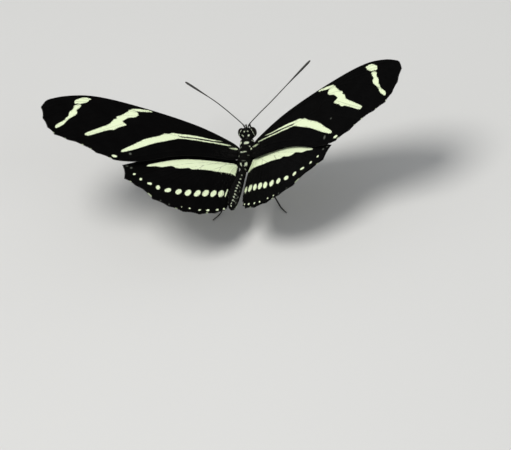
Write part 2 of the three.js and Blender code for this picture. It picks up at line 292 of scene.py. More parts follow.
def voronoi(nt, scale, vector=None, feature="F1", what="Distance"):
    n = put(nt, "ShaderNodeTexVoronoi", feature=feature, in_Scale=scale)
    if vector is not None:
        nt.links.new(vector, n.inputs["Vector"])
    return n.outputs[what]


def stretched(nt, vector, by):
    n = put(nt, "ShaderNodeMapping", vector_type="POINT")
    n.inputs["Scale"].default_value = by
    nt.links.new(vector, n.inputs["Vector"])
    return n.outputs["Vector"]


def bump(nt, shader, height, distance, strength=1.0):
    n = put(nt, "ShaderNodeBump", in_Strength=strength, in_Distance=distance)
    nt.links.new(height, n.inputs["Height"])
    nt.links.new(n.outputs["Normal"], shader.inputs["Normal"])


PALE = (0.76, 0.87, 0.55)
PALE_WARM = (0.80, 0.80, 0.50)
BLACK = (0.0010, 0.0009, 0.0009)


def wing_material(name, dark, dark_high, pale, pale_high, under):
    """Rows of scales; the pale pattern comes from the depth inside the marking loops."""
    m, nt, sh = nodes_of(name)
    st = attribute(nt, "st").outputs["Vector"]
    ragged = maths(nt, "MULTIPLY", maths(nt, "SUBTRACT", noise(nt, 7.0, 2.0, st), 0.5), 0.22)
    scale_cell = voronoi(nt, 1.0, stretched(nt, st, (6.5, 10.5, 1.0)), what="Color")
    tone = put(nt, "ShaderNodeSeparateColor")
    nt.links.new(scale_cell, tone.inputs[0])
    tone_r = tone.outputs[0]
    jag = maths(nt, "MULTIPLY", maths(nt, "SUBTRACT", tone.outputs[1], 0.5), 0.10)
    depth = maths(nt, "ADD", attribute(nt, "pale").outputs["Fac"], maths(nt, "ADD", ragged, jag))
    is_pale = ramp(nt, depth, -0.035, 0.045)
    faint = maths(nt, "ADD", attribute(nt, "faint").outputs["Fac"], ragged)
    is_faint = maths(nt, "MULTIPLY", ramp(nt, faint, -0.12, 0.22), 0.33)
    vein = attribute(nt, "vein").outputs["Fac"]
    on_vein = ramp(nt, vein, 0.035, 0.11, 1.0, 0.0)
    cloud = noise(nt, 0.35, 3.0, st)
    ground = mix(nt, maths(nt, "MULTIPLY", tone_r, ramp(nt, cloud, 0.3, 0.7, 0.35, 1.0)), dark, dark_high)
    # longer, paler scales towards the wing root
    root = ramp(nt, attribute(nt, "root").outputs["Fac"], 1.0, 9.0, 0.55, 0.0)
    ground = mix(nt, maths(nt, "MULTIPLY", root, tone_r), ground, (0.008, 0.0077, 0.007))
    light = mix(nt, tone_r, pale, pale_high)
    light = mix(nt, ramp(nt, cloud, 0.35, 0.7, 0.0, 0.35), light, pale_high)
    light = mix(nt, maths(nt, "MULTIPLY", on_vein, 0.42), light, (0.16, 0.17, 0.12))
    # a few dark scales are strewn along the edges of the pale marks
    strewn = maths(nt, "MULTIPLY", ramp(nt, tone.outputs[2], 0.84, 0.90), ramp(nt, depth, 0.05, 0.42, 0.8, 0.0))
    light = mix(nt, strewn, light, (0.10, 0.10, 0.07))
    colour = mix(nt, is_faint, ground, (0.30, 0.32, 0.27))
    colour = mix(nt, is_pale, colour, light)
    if under:
        red = maths(nt, "ADD", attribute(nt, "red").outputs["Fac"], ragged)
        colour = mix(nt, ramp(nt, red, -0.03, 0.05), colour, (0.36, 0.012, 0.014))
    nt.links.new(colour, sh.inputs["Base Color"])
    rough = ramp(nt, tone_r, 0.0, 1.0, 0.58, 0.74)
    nt.links.new(rough, sh.inputs["Roughness"])
    sh.inputs["Specular IOR Level"].default_value = 0.10 if under else 0.02
    rows = put(nt, "ShaderNodeTexWave", wave_type="BANDS", bands_direction="X", in_Scale=1.55, in_Distortion=1.6, in_Detail=1.0)
    nt.links.new(st, rows.inputs["Vector"])
    height = maths(nt, "ADD", maths(nt, "MULTIPLY", voronoi(nt, 1.0, stretched(nt, st, (6.5, 10.5, 1.0))), -0.8),
                   maths(nt, "MULTIPLY", rows.outputs["Fac"], 0.5))
    height = maths(nt, "ADD", height, maths(nt, "MULTIPLY", tone_r, 0.4))
    bump(nt, sh, height, 0.00002, 0.7)
    return m


def hair_material(name, dark, dark_high, pale, rough=0.6, sheen=0.07):
    """Scales and hairs: their own tone with painted shade towards the root, pale where they root in a pale mark."""
    m, nt, sh = nodes_of(name)
    tone = attribute(nt, "tone").outputs["Fac"]
    along = attribute(nt, "along").outputs["Fac"]
    dark_mix = mix(nt, tone, dark, dark_high)
    # painted shade: dark scales and hairs are darker towards the root, where they lie under the others
    dark_mix = mix(nt, ramp(nt, along, 0.0, 1.0, 0.45, 0.0), dark_mix, dark)
    light = mix(nt, ramp(nt, tone, 0.0, 1.0, 0.0, 0.5), pale, (0.72, 0.78, 0.57))
    colour = mix(nt, attribute(nt, "pale").outputs["Fac"], dark_mix, light)
    grain = noise(nt, 9000.0, 2.0, put(nt, "ShaderNodeTexCoord").outputs["Object"])
    colour = mix(nt, ramp(nt, grain, 0.35, 0.7, 0.0, 0.1), colour, dark_mix)
    nt.links.new(colour, sh.inputs["Base Color"])
    nt.links.new(ramp(nt, grain, 0.3, 0.7, rough - 0.08, rough + 0.1), sh.inputs["Roughness"])
    sh.inputs["Specular IOR Level"].default_value = sheen
    bump(nt, sh, grain, 0.000006, 0.6)
    return m


def skin_material():
    m, nt, sh = nodes_of("body_skin")
    at = put(nt, "ShaderNodeTexCoord").outputs["Object"]
    fine = voronoi(nt, 9000.0, at)
    soft = noise(nt, 1800.0, 4.0, at)
    dark = mix(nt, soft, (0.0022, 0.0021, 0.002), (0.008, 0.0075, 0.0068))
    depth = maths(nt, "ADD", attribute(nt, "pale").outputs["Fac"], maths(nt, "MULTIPLY", maths(nt, "SUBTRACT", soft, 0.5), 0.12))
    light = mix(nt, soft, PALE, (0.74, 0.80, 0.6))
    colour = mix(nt, ramp(nt, depth, -0.04, 0.05), dark, light)
    nt.links.new(colour, sh.inputs["Base Color"])
    nt.links.new(ramp(nt, soft, 0.3, 0.7, 0.45, 0.68), sh.inputs["Roughness"])
    sh.inputs["Specular IOR Level"].default_value = 0.08
    bump(nt, sh, maths(nt, "ADD", fine, soft), 0.00003, 0.7)
    return m


def chitin_material(name, low, high, rough, bands=0.0, ring=(0.2, 0.2, 0.16)):
    """Hard parts: legs, feelers and tongue. bands lays a pale ring of scales at each joint."""
    m, nt, sh = nodes_of(name)
    at = put(nt, "ShaderNodeTexCoord").outputs["Object"]
    n = noise(nt, 5000.0, 4.0, at)
    colour = mix(nt, n, low, high)
    if bands:
        rings = ramp(nt, attribute(nt, "ring").outputs["Fac"], 0.62, 0.9, 0.0, bands)
        colour = mix(nt, maths(nt, "MULTIPLY", rings, ramp(nt, n, 0.35, 0.6)), colour, ring)
    pale = maths(nt, "MULTIPLY", attribute(nt, "pale").outputs["Fac"], ramp(nt, n, 0.3, 0.62, 0.25, 1.0))
    colour = mix(nt, pale, colour, (0.55, 0.57, 0.44))
    nt.links.new(colour, sh.inputs["Base Color"])
    nt.links.new(ramp(nt, n, 0.3, 0.7, rough - 0.1, rough + 0.12), sh.inputs["Roughness"])
    sh.inputs["Specular IOR Level"].default_value = 0.4
    bump(nt, sh, maths(nt, "ADD", n, voronoi(nt, 14000.0, at)), 0.000015, 0.6)
    return m


def eye_material():
    """Compound eye: six-sided lenses under a gloss, browner where light gets through."""
    m, nt, sh = nodes_of("compound_eye")
    st = attribute(nt, "st").outputs["Vector"]
    lens = voronoi(nt, 1.0, stretched(nt, st, (38.0, 38.0, 1.0)))
    cell = voronoi(nt, 1.0, stretched(nt, st, (38.0, 38.0, 1.0)), what="Color")
    tone = put(nt, "ShaderNodeSeparateColor")
    nt.links.new(cell, tone.inputs[0])
    big = noise(nt, 900.0, 3.0, put(nt, "ShaderNodeTexCoord").outputs["Object"])
    colour = mix(nt, ramp(nt, big, 0.35, 0.7), (0.0022, 0.0018, 0.0016), (0.0075, 0.0045, 0.0034))
    colour = mix(nt, maths(nt, "MULTIPLY", tone.outputs[0], 0.3), colour, (0.014, 0.008, 0.005))
    nt.links.new(colour, sh.inputs["Base Color"])
    nt.links.new(ramp(nt, big, 0.3, 0.7, 0.22, 0.32), sh.inputs["Roughness"])
    sh.inputs["IOR"].default_value = 1.16
    sh.inputs["Specular IOR Level"].default_value = 0.5
    sh.inputs["Coat Weight"].default_value = 0.0
    sh.inputs["Coat Roughness"].default_value = 0.08
    bump(nt, sh, maths(nt, "MULTIPLY", lens, -1.0), 0.000008, 0.5)
    return m


mat_top = wing_material("wing_upper", BLACK, (0.0030, 0.0029, 0.0028), PALE, (0.82, 0.90, 0.63), False)
mat_under = wing_material("wing_lower", (0.012, 0.009, 0.007), (0.040, 0.031, 0.024), (0.80, 0.80, 0.56), (0.85, 0.84, 0.64), True)
mat_fringe = hair_material("wing_fringe", (0.004, 0.004, 0.004), (0.018, 0.017, 0.015), PALE)
mat_hair = hair_material("wing_root_hair", (0.003, 0.003, 0.003), (0.018, 0.017, 0.015), PALE, 0.62, 0.06)
mat_coat = hair_material("body_scales", (0.0024, 0.0024, 0.0024), (0.011, 0.0105, 0.0095), (0.86, 0.93, 0.74), 0.62, 0.05)
mat_skin = skin_material()
mat_leg = chitin_material("leg_chitin", (0.006, 0.005, 0.0045), (0.028, 0.024, 0.02), 0.5)
mat_feeler = chitin_material("feeler_chitin", (0.004, 0.0036, 0.0034), (0.018, 0.015, 0.013), 0.52, 0.5)
mat_tongue = chitin_material("tongue_chitin", (0.010, 0.007, 0.005), (0.05, 0.032, 0.02), 0.35, 0.25, (0.09, 0.06, 0.035))
mat_eye = eye_material()

# -------------------------------------------------------------------- wings
FORE_POSE = {LEFT: (34.1, 3.1, -0.3, 0.1, -2.9), RIGHT: (33.3, 10.8, 0.3, -0.25, -2.35)}
HIND_POSE = {LEFT: (32.1, -6.7, 0.5, -0.45, -4.0), RIGHT: (29.5, -5.8, -0.5, 0.45, -3.6)}
FORE_CAMBER, HIND_CAMBER = 0.2, 0.37
HALF = 0.075                       # half the wing's thickness

FORE_FRONT = [[1.25, 1.75], [1.7, 2.2], [2.4, 2.72], [4, 3.3], [8, 4.2], [12, 4.75], [18, 5.05], [26, 5.15], [31, 5.0],
              [35, 4.4], [38.5, 3.15], [41.1, 1.8], [42.97, 0.42], [43.88, -1.9]]
FORE_REAR = [[1.25, -0.6], [1.7, -0.95], [2.3, -1.3], [4, -2.05], [8.5, -3.15], [12.5, -4.55], [16, -6.35], [19, -8.35],
             [22, -10.02], [25, -11.1], [27.1, -11.5]]
FORE_ENDS = [[27.1, -11.5], [30.8, -10.88], [33.88, -9.68], [37.05, -9.3], [40.0, -8.68], [41.72, -7.15], [43.08, -4.88], [43.88, -1.9]]
HIND_FRONT = [[1.3, 0.2], [1.8, 0.32], [2.5, 0.4], [3.3, 0.44], [5, 0.35], [9, -0.65], [13, -2.55], [17, -4.95], [21, -8.05], [23.35, -9.95],
              [24.6, -10.95]]
HIND_INNER = {
    RIGHT: [[1.3, -1.6], [1.75, -2.0], [1.85, -2.9], [1.3, -4.4], [1.42, -8.5], [1.7, -13.0], [2.42, -17.3]],
    LEFT: [[1.3, -1.6], [1.42, -2.1], [1.15, -3.2], [0.85, -4.6], [0.9, -8.0], [1.1, -12.0], [1.2, -14.8], [1.6, -17.1]],
}
HIND_ENDS = [[3.4, -18.88], [6.5, -20.72], [9.8, -21.37], [13.1, -20.87], [16.68, -19.87], [17.95, -18.32], [20.72, -16.77], [23.4, -15.3], [24.6, -10.95]]
FORE_WHITE = np.array([[27.8, -11.3], [32.2, -10.3], [34.0, -9.75], [36.5, -9.5], [37.7, -9.2], [40.4, -8.3], [42.5, -5.9], [43.3, -4.2]])
FRINGE = 0.2                       # how far the scales of the margin stand out


def scalloped(ends, depth, steps):
    """Margin between vein ends, dipping inward between them."""
    out = []
    for i in range(len(ends) - 1):
        a, b = np.array(ends[i], float), np.array(ends[i + 1], float)
        e = b - a
        normal = np.array([-e[1], e[0]]) / np.linalg.norm(e)
        for k in range(steps):
            u = k / steps
            out.append(a + e * u + normal * depth * math.sin(math.pi * u) * (0.8 if i % 2 else 1.0))
    out.append(np.array(ends[-1], float))
    return np.array(out)


# the left hind wing's inner edge is turned down beside the abdomen past this line (t, s)
FOLD_LINE = np.array([[-17.4, 2.1], [-14.6, 2.36], [-12.0, 2.3], [-8.0, 1.9], [-4.6, 1.5], [-3.2, 1.55], [-2.0, 1.7]])
FOLD_RADIUS = 0.4


def wing_surface(pose, camber, s, t, side):
    p = open_wing(pose, camber, s, t, side)
    if pose is not HIND_POSE[LEFT]:
        return p
    line = np.interp(t, FOLD_LINE[:, 0], FOLD_LINE[:, 1])
    past = np.maximum(line - s, 0.0)
    base = open_wing(pose, camber, line, t, side)
    ds = unit(open_wing(pose, camber, line + 0.01, t, side) - base)
    dt = unit(open_wing(pose, camber, line, t + 0.01, side) - base)
    down = unit(np.cross(ds, dt))
    down = np.where(down[..., 2:3] > 0, -down, down)
    most = np.radians(50) * step(-1.6, -3.2, t)
    turn = np.minimum(past / FOLD_RADIUS, most)
    rest = past - turn * FOLD_RADIUS
    along = FOLD_RADIUS * np.sin(turn) + rest * np.cos(turn)
    drop = FOLD_RADIUS * (1 - np.cos(turn)) + rest * np.sin(turn)
    folded = base - ds * along[..., None] + down * drop[..., None]
    return np.where((past > 0)[..., None], folded, p)


def open_wing(pose, camber, s, t, side):
    elev, twist, sweep, forward, up = pose
    c, n = math.cos(math.radians(sweep)), math.sin(math.radians(sweep))
    s2, t2 = c * s - n * t, n * s + c * t
    k, e = math.radians(camber), math.radians(elev)
    x = (math.sin(e) - np.sin(e - k * s2)) / k
    z = (np.cos(e - k * s2) - math.cos(e)) / k
    slope = math.tan(math.radians(twist))
    flat = 1 / math.hypot(1, slope)
    return np.stack([side * x, t2 * flat + forward, z + t2 * flat * slope + up], -1)


def wing_frame(pose, camber, s, t, side):
    """Point, unit vectors along s and t, and the upward normal."""
    p = wing_surface(pose, camber, s, t, side)
    ds = unit(wing_surface(pose, camber, s + 0.01, t, side) - p)
    dt = unit(wing_surface(pose, camber, s, t + 0.01, side) - p)
    n = unit(np.cross(ds, dt))
    n = np.where(n[..., 2:3] < 0, -n, n)
    return p, ds, dt, n


FORE_VEINS = [
    [[1.3, 1.6], [6, 2.85], [12, 3.75], [18, 3.85], [22.4, 3.3]],
    [[1.3, 1.2], [3.4, 2.06], [6.0, 1.92], [10, 1.15], [13.8, 0.12], [17.0, -0.2], [21.5, -0.5]],
    [[11.0, 0.9], [15.0, -1.05], [19.7, -4.25], [25.2, -8.9], [27.2, -11.4]],
    [[17.0, -0.2], [18.9, -1.35], [22.2, -3.85], [25.8, -7.7], [30.8, -10.8]],
    [[21.5, -0.5], [24, -2.6], [28.4, -6.0], [33.8, -9.6]],
    [[23.0, 1.0], [26.2, -0.7], [30.3, -4.0], [37.0, -9.2]],
    [[22.9, 2.5], [27.2, 1.15], [32, -2.4], [39.9, -8.6]],
    [[22.4, 3.3], [28, 2.5], [34.9, -1.1], [41.6, -7.1]],
    [[29.0, 2.9], [36.2, 1.0], [42.9, -4.8]],
    [[32.0, 3.1], [37.5, 1.6], [43.5, -2.2]],
    [[22.4, 3.3], [30, 3.55], [36.8, 2.8], [41.3, 1.4]],
    [[1.3, 1.7], [8, 3.6], [14, 4.3], [21, 4.7], [24, 4.85]],
    [[16, 3.9], [21, 4.3], [28, 4.7], [31, 4.8]],
    [[24, 3.45], [29, 4.1], [35, 4.15]],
    [[1.3, 0.6], [4, -0.2], [9, -1.5], [16, -4.9], [22, -8.6], [25.6, -11.1]],
    [[22.4, 3.3], [22.9, 2.5], [22.2, 1.8], [23.0, 1.0], [22.0, 0.3], [21.5, -0.5]],
]
HIND_VEINS = [
    [[1.4, -1.1], [3, -1.25], [8, -1.9], [14, -4.35], [20, -8.4], [24.1, -11.6]],
    [[1.4, -1.2], [5, -2.5], [10, -4.5], [16, -8.6], [20.5, -12.7], [23.2, -15.0]],
    [[1.4, -1.2], [5, -2.5], [8.5, -4.5], [13, -8.4], [17.5, -13.2], [20.6, -16.5]],
    [[8.5, -4.5], [9.4, -6.2], [12.6, -10.2], [15.4, -15], [17.8, -18.1]],
    [[9.2, -7.8], [11.0, -12], [12.5, -16.8], [13.2, -20.3]],
    [[1.4, -1.3], [3.7, -1.9], [5.1, -3.5], [6.7, -5.5], [8.3, -8.4], [9.2, -13], [9.6, -17.5], [9.9, -20.8]],
    [[5.1, -3.5], [5.7, -7.5], [6.0, -12], [6.35, -16.5], [6.6, -20.2]],
    [[1.4, -1.4], [2.7, -3.2], [3.2, -7.5], [3.3, -13], [3.5, -18.1]],
    [[8.5, -4.5], [9.4, -6.2], [9.2, -7.8], [8.2, -8.4]],
]

FORE_PALE = {
    "upper_streak": [[5.7, 2.47], [7, 2.16], [8, 1.97], [9, 1.85], [10, 1.74], [11, 1.6], [12, 1.42], [13, 1.2], [14, 0.92], [15, 0.68], [16.4, 0.36],
                     [16.2, 0.0], [15, 0.12], [14, 0.32], [13, 0.6], [12, 0.86], [11, 1.08], [10, 1.3], [9, 1.5], [8, 1.64], [7, 1.91], [5.8, 2.38]],
    "lower_streak": [[3.8, 2.08], [5, 1.93], [6, 1.74], [7, 1.52], [8, 1.33], [9, 1.1], [10, 0.92], [11, 0.75], [12, 0.54], [13, 0.26], [14, -0.03],
                     [14.7, -0.22], [14.6, -0.5], [14, -0.37], [13, -0.12], [12, 0.13], [11, 0.39], [10, 0.58], [9, 0.77], [8, 1.02], [7, 1.22], [6, 1.4],
                     [5, 1.58], [3.9, 1.82]],
    "basal_band": [[14.6, 0.02], [16.3, 0.3], [16.9, -0.12], [17.8, -0.42], [18.8, -1.45], [20.7, -2.8], [22.1, -4.0], [24.0, -6.2], [25.6, -7.9],
                   [25.95, -8.7], [25.15, -8.45], [22.8, -6.7], [19.7, -4.0], [17.2, -2.3], [15.1, -0.8], [14.5, -0.35]],
    "median_band": [[25.3, 3.55], [25.95, 3.25], [26.05, 2.85], [27.3, 1.25], [28.2, 0.5], [28.05, 0.1], [28.75, -0.6], [29.35, -2.0], [31.6, -4.1],
                    [33.6, -6.0], [33.85, -6.7], [33.2, -6.75], [32.3, -6.1], [29.2, -3.65], [28.2, -3.3], [27.4, -2.3], [25.95, -1.15], [26.05, -0.8],
                    [26.7, -0.4], [26.5, 0.2], [25.5, 1.25], [24.4, 1.8], [23.85, 2.5], [23.9, 2.95], [24.3, 3.4]],
    "costal_streak": [[21.3, 4.72], [22.6, 4.6], [25.2, 3.95], [25.4, 3.4], [24.6, 3.45], [22.4, 4.1], [21.2, 4.45]],
    "apical_upper": [[34.0, 3.6], [35.3, 3.62], [36.1, 3.15], [36.55, 2.7], [37.1, 2.2], [37.25, 1.4], [36.8, 1.25], [35.6, 1.75], [34.6, 2.5], [34.35, 3.1]],
    "apical_lower": [[36.0, 1.3], [36.9, 0.85], [37.2, 0.4], [37.2, -0.4], [37.85, -1.6], [37.9, -2.65], [38.35, -3.4], [38.5, -4.0], [39.9, -5.8],
                     [40.08, -6.4], [39.9, -6.8], [39.55, -6.55], [38.6, -5.4], [37.75, -3.6], [36.55, -2.0], [36.25, -1.05], [36.5, -0.6], [35.8, 0.8]],
}
FORE_OVALS = [(2.9, 1.5, 0.8, 0.22, 168), (1.35, 1.6, 0.62, 0.26, 150), (27.1, -10.4, 0.56, 0.34, 176)]
FORE_FAINT = {LEFT: [(24.0, -8.6, 0.28, 0.34, 0)], RIGHT: [(24.0, -8.8, 0.3, 0.5, 0), (25.4, -4.8, 0.22, 0.22, 0)]}
HIND_BAND = [[1.1, -2.3], [1.8, -1.5], [3.2, -1.42], [6.0, -2.1], [9.0, -3.05], [12.0, -4.08], [14.6, -5.45], [17.0, -7.1], [19.2, -8.85], [19.72, -9.6],
             [19.2, -9.62], [18.2, -9.1], [16.6, -8.75], [14.9, -7.7], [13.6, -7.95], [12.3, -7.35], [11.4, -6.85], [10.6, -6.98], [8.1, -5.98],
             [5.9, -5.55], [4.0, -5.0], [2.4, -4.78], [1.2, -5.4]]
HIND_OVALS = [(3.55, -12.1, 1.18, 0.55, 94), (5.05, -12.85, 1.22, 0.5, 101), (6.6, -13.45, 1.2, 0.58, 102), (8.2, -14.3, 1.22, 0.54, 104),
              (10.05, -14.9, 1.12, 0.57, 101), (11.95, -15.4, 0.98, 0.55, 106), (14.1, -15.8, 0.83, 0.55, 122), (16.2, -15.7, 0.68, 0.43, 88),
              (18.05, -15.1, 0.5, 0.42, 0), (20.05, -14.35, 0.4, 0.28, 85), (21.6, -13.2, 0.38, 0.27, 102)]
HIND_OWN = {LEFT: [(2.56, -11.4, 1.35, 0.15, 92), (2.1, -16.6, 0.33, 0.2, 115), (3.36, -17.62, 0.4, 0.24, 116), (5.16, -18.62, 0.42, 0.26, 120),
                   (6.76, -19.35, 0.34, 0.2, 118), (8.8, -19.7, 0.26, 0.2, 108), (10.44, -19.95, 0.2, 0.12, 100)],
            RIGHT: [(2.3, -11.75, 1.1, 0.36, 97), (3.1, -17.2, 0.32, 0.2, 115), (4.5, -18.1, 0.4, 0.24, 116), (6.3, -19.05, 0.4, 0.24, 120),
                    (7.84, -19.62, 0.34, 0.18, 118), (10.08, -19.92, 0.28, 0.18, 108), (11.6, -20.0, 0.24, 0.14, 100)]}
HIND_FAINT = [(22.6, -11.35, 0.34, 0.24, 105), (23.6, -11.1, 0.26, 0.2, 170), (13.0, -20.2, 0.26, 0.14, 100), (14.9, -19.7, 0.26, 0.14, 95)]
# spots of crimson at the wing roots and a pale streak under the front edge
FORE_RED = [(2.6, 1.9, 0.7, 0.3, 15)]
HIND_RED = [(2.7, -1.25, 0.42, 0.26, 160), (2.9, -2.3, 0.4, 0.28, 120), (2.4, -3.4, 0.38, 0.26, 95), (4.3, -1.35, 0.34, 0.2, 165)]
FORE_UNDER = [(31.5, 4.35, 1.2, 0.22, 172), (12.5, 3.3, 5.0, 0.3, 3)]
HIND_UNDER = [(7.6, -1.25, 3.4, 0.26, 165), (3.4, -0.95, 0.9, 0.18, 178)]


def marks(st, loops, ovals):
    depth = np.full(len(st), -0.6)
    for loop in loops:
        depth = np.maximum(depth, loop_depth(st, spline(loop, 3, closed=True)))
    for o in ovals:
        depth = np.maximum(depth, oval_depth(st, *o))
    return depth


def wing(which, side, n, m, uv_box):
    """Upper and lower faces of one wing as a closed shell. uv_box gives where its two flat maps lie."""
    fore = which == "fore"
    if fore:
        front = evenly(spline(FORE_FRONT, 12), n)
        rear = evenly(np.vstack([spline(FORE_REAR, 12)[:-1], scalloped(FORE_ENDS, 0.22, 16)]), n)
        pose, camber, veins = FORE_POSE[side], FORE_CAMBER, FORE_VEINS
    else:
        front = evenly(spline(HIND_FRONT, 12), n)
        inner = HIND_INNER[side]
        rear = evenly(np.vstack([spline(inner, 12)[:-1], scalloped([inner[-1], *HIND_ENDS], 0.26, 16)]), n)
        pose, camber, veins = HIND_POSE[side], HIND_CAMBER, HIND_VEINS
    # the membrane stops short of the margin's scales
    edge = np.vstack([front, rear[-2:0:-1]])
    around = np.roll(edge, -1, axis=0) - np.roll(edge, 1, axis=0)
    inward = unit(np.stack([around[:, 1], -around[:, 0]], 1))
    cut = np.full(len(edge), 0.03)
    rear_part = np.arange(len(edge)) > n
    if fore:
        cut = np.where(rear_part, FRINGE * step(20, 27, edge[:, 0]) + 0.05, 0.03 + FRINGE * step(40.5, 42.5, edge[:, 0]))
    else:
        cut = np.where(rear_part, 0.05 + FRINGE * step(-13, -17, edge[:, 1]), 0.03)
        cut = np.where(rear_part & (edge[:, 0] > 20), 0.05 + FRINGE, cut)
    edge = edge + inward * cut[:, None]
    front_in = edge[:n + 1].copy()
    rear_in = np.vstack([edge[:1] * 0 + rear[0], edge[:n:-1], edge[n:n + 1]])
    share = np.linspace(0, 1, m + 1)
    share = 0.6 * share + 0.4 * (0.5 - 0.5 * np.cos(np.pi * share))
    st = front_in[:, None] * (1 - share[None, :, None]) + rear_in[:, None] * share[None, :, None]
    st = st[:-1].reshape(-1, 2)
    st = np.vstack([st, edge[n:n + 1]])                      # the tip is one vertex
    rows, cols = n, m + 1
    outline = edge[::4]
    to_edge = to_segments(st, outline, True)
    to_vein = np.full(len(st), 9.0)
    for v in veins:
        to_vein = np.minimum(to_vein, to_segments(st, spline(v, 5), False))
    if fore:
        # the streaks of the root sit a little nearer the front edge on the left wing
        look = st - np.column_stack([np.zeros(len(st)), (0.04 if side == LEFT else -0.12) * step(15.0, 11.0, st[:, 0])])
        pale = marks(look, FORE_PALE.values(), FORE_OVALS)
        faint, red, below = marks(st, [], FORE_FAINT[side]), marks(st, [], FORE_RED), marks(st, [], FORE_UNDER)
        # the vein between the two pale streaks of the root
        gap = to_segments(st, spline([[36.4, 1.45], [37.4, 0.95]], 2), False)
        pale = np.minimum(pale, gap - 0.05)
    else:
        pale = marks(st, [HIND_BAND], HIND_OVALS + HIND_OWN[side])
        if side == LEFT:                                     # the turned-in edge is black
            pale = np.minimum(pale, st[:, 0] - 1.84 - 0.03 * (st[:, 1] + 3))
            pale = np.minimum(pale, np.hypot(st[:, 0] - 1.6, st[:, 1] + 1.25) - 0.62)
        faint, red, below = marks(st, [], HIND_FAINT), marks(st, [], HIND_RED), marks(st, [], HIND_UNDER)
    p, ds, dt, nrm = wing_frame(pose, camber, st[:, 0], st[:, 1], side)
    rim = np.sqrt(np.clip(to_edge / 0.22, 0, 1))
    ridge = 0.045 * np.exp(-(to_vein / 0.13) ** 2) + 0.03 * np.exp(-(to_vein / 0.3) ** 2)
    swell = 0.05 * (1 - np.exp(-(to_vein / 0.9) ** 2)) * np.clip(to_edge / 1.2, 0, 1)
    half = (HALF + ridge) * rim * np.where(st[:, 0] < 3, 1.15, 1.0)
    top = p + nrm * (swell + half)[:, None]
    low = p + nrm * (swell - half)[:, None]
    border = np.zeros(len(st), bool)
    index = np.arange(rows * cols).reshape(rows, cols)
    for part in (index[0], index[:, 0], index[:, -1]):
        border[part] = True
    border[-1] = True
    mid = p + nrm * swell[:, None]
    top[border] = mid[border]
    low_index = np.where(border, np.arange(len(st)), 0)
    low_index[~border] = len(st) + np.arange((~border).sum())
    verts = np.vstack([top, low[~border]])
    quads, _, _ = grid_faces(rows, cols, False)
    tip = len(st) - 1
    last = np.stack([index[-1, :-1], index[-1, 1:], np.full(m, tip)], 1)
    # facing up for the right wing means s then t; the quads run row (s) then column (t falling)
    flip = side == RIGHT
    q_top = quads if flip else quads[:, ::-1]
    l_top = last if flip else last[:, ::-1]
    q_low, l_low = low_index[q_top[:, ::-1]], low_index[l_top[:, ::-1]]
    corners = np.concatenate([q_top.ravel(), l_top.ravel(), q_low.ravel(), l_low.ravel()])
    counts = np.concatenate([np.full(len(quads), 4), np.full(len(last), 3), np.full(len(quads), 4), np.full(len(last), 3)])
    n_top = len(quads) * 4 + len(last) * 3
    (s0, s1), (t0, t1) = (edge[:, 0].min(), edge[:, 0].max()), (edge[:, 1].min(), edge[:, 1].max())
    flat = (st - [s0, t0]) / [s1 - s0, t1 - t0]
    (ax, ay, aw, ah), (bx, by, bw, bh) = uv_box
    st_low = np.zeros((len(verts), 2))
    st_low[low_index] = flat
    uv = np.vstack([flat[corners[:n_top]] * [aw, ah] + [ax, ay], st_low[corners[n_top:]] * [bw, bh] + [bx, by]])
    own = np.concatenate([np.arange(len(st)), np.where(~border)[0]])
    under = np.concatenate([np.zeros(len(st), bool), np.ones((~border).sum(), bool)])
    where = np.column_stack([st[own], np.where(under, 7.0, 0.0) + (31.0 if side == LEFT else 0.0)])
    seen = np.where(under, np.maximum(pale, below)[own], pale[own])
    which_mat = np.concatenate([np.zeros(len(quads) + len(last), int), np.ones(len(quads) + len(last), int)])
    root = st[own, 0] if fore else np.hypot(st[own, 0] - 1.2, (st[own, 1] + 1.2) * 0.8) + 1.0
    shell = dict(verts=verts, corners=corners, counts=counts, uv=uv, which=which_mat, where=where,
                 values=dict(pale=seen, faint=faint[own], red=np.where(under, red[own], -0.6), vein=to_vein[own], root=root))
    shell.update(edge=edge, cut=cut, inward=inward, pose=pose, camber=camber, side=side, n=n, fore=fore, box=((s0, s1), (t0, t1)), uv_top=uv_box[0])
    return shell


def wing_object(name, shells, replaced):
    corners, size = [], 0
    for s in shells:
        corners.append(s["corners"] + size)
        size += len(s["verts"])
    ob = build(name, np.vstack([s["verts"] for s in shells]), np.concatenate(corners), np.concatenate([s["counts"] for s in shells]),
               np.vstack([s["uv"] for s in shells]),
               {k: np.concatenate([s["values"][k] for s in shells]) for k in shells[0]["values"]},
               (mat_top, mat_under), np.concatenate([s["which"] for s in shells]),
               vectors={"st": np.vstack([s["where"] for s in shells])})
    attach(ob, "root")
    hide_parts(*replaced)
    return ob


FORE_BOX = ((0.004, 0.004, 0.992, 0.488), (0.004, 0.508, 0.992, 0.488))
HIND_BOX = {LEFT: ((0.004, 0.004, 0.488, 0.488), (0.508, 0.004, 0.488, 0.488)),
            RIGHT: ((0.004, 0.508, 0.488, 0.488), (0.508, 0.508, 0.488, 0.488))}
shells = {}
for side, word in ((LEFT, "left"), (RIGHT, "right")):
    shells["fore", side] = wing("fore", side, 420, 96, FORE_BOX)
    shells["hind", side] = wing("hind", side, 250, 98, HIND_BOX[side])
    wing_object("forewing_membrane_" + word, [shells["fore", side]], ["forewing_" + word])
wing_object("hindwing_membranes", [shells["hind", LEFT], shells["hind", RIGHT]], ["hindwing_left", "hindwing_right"])


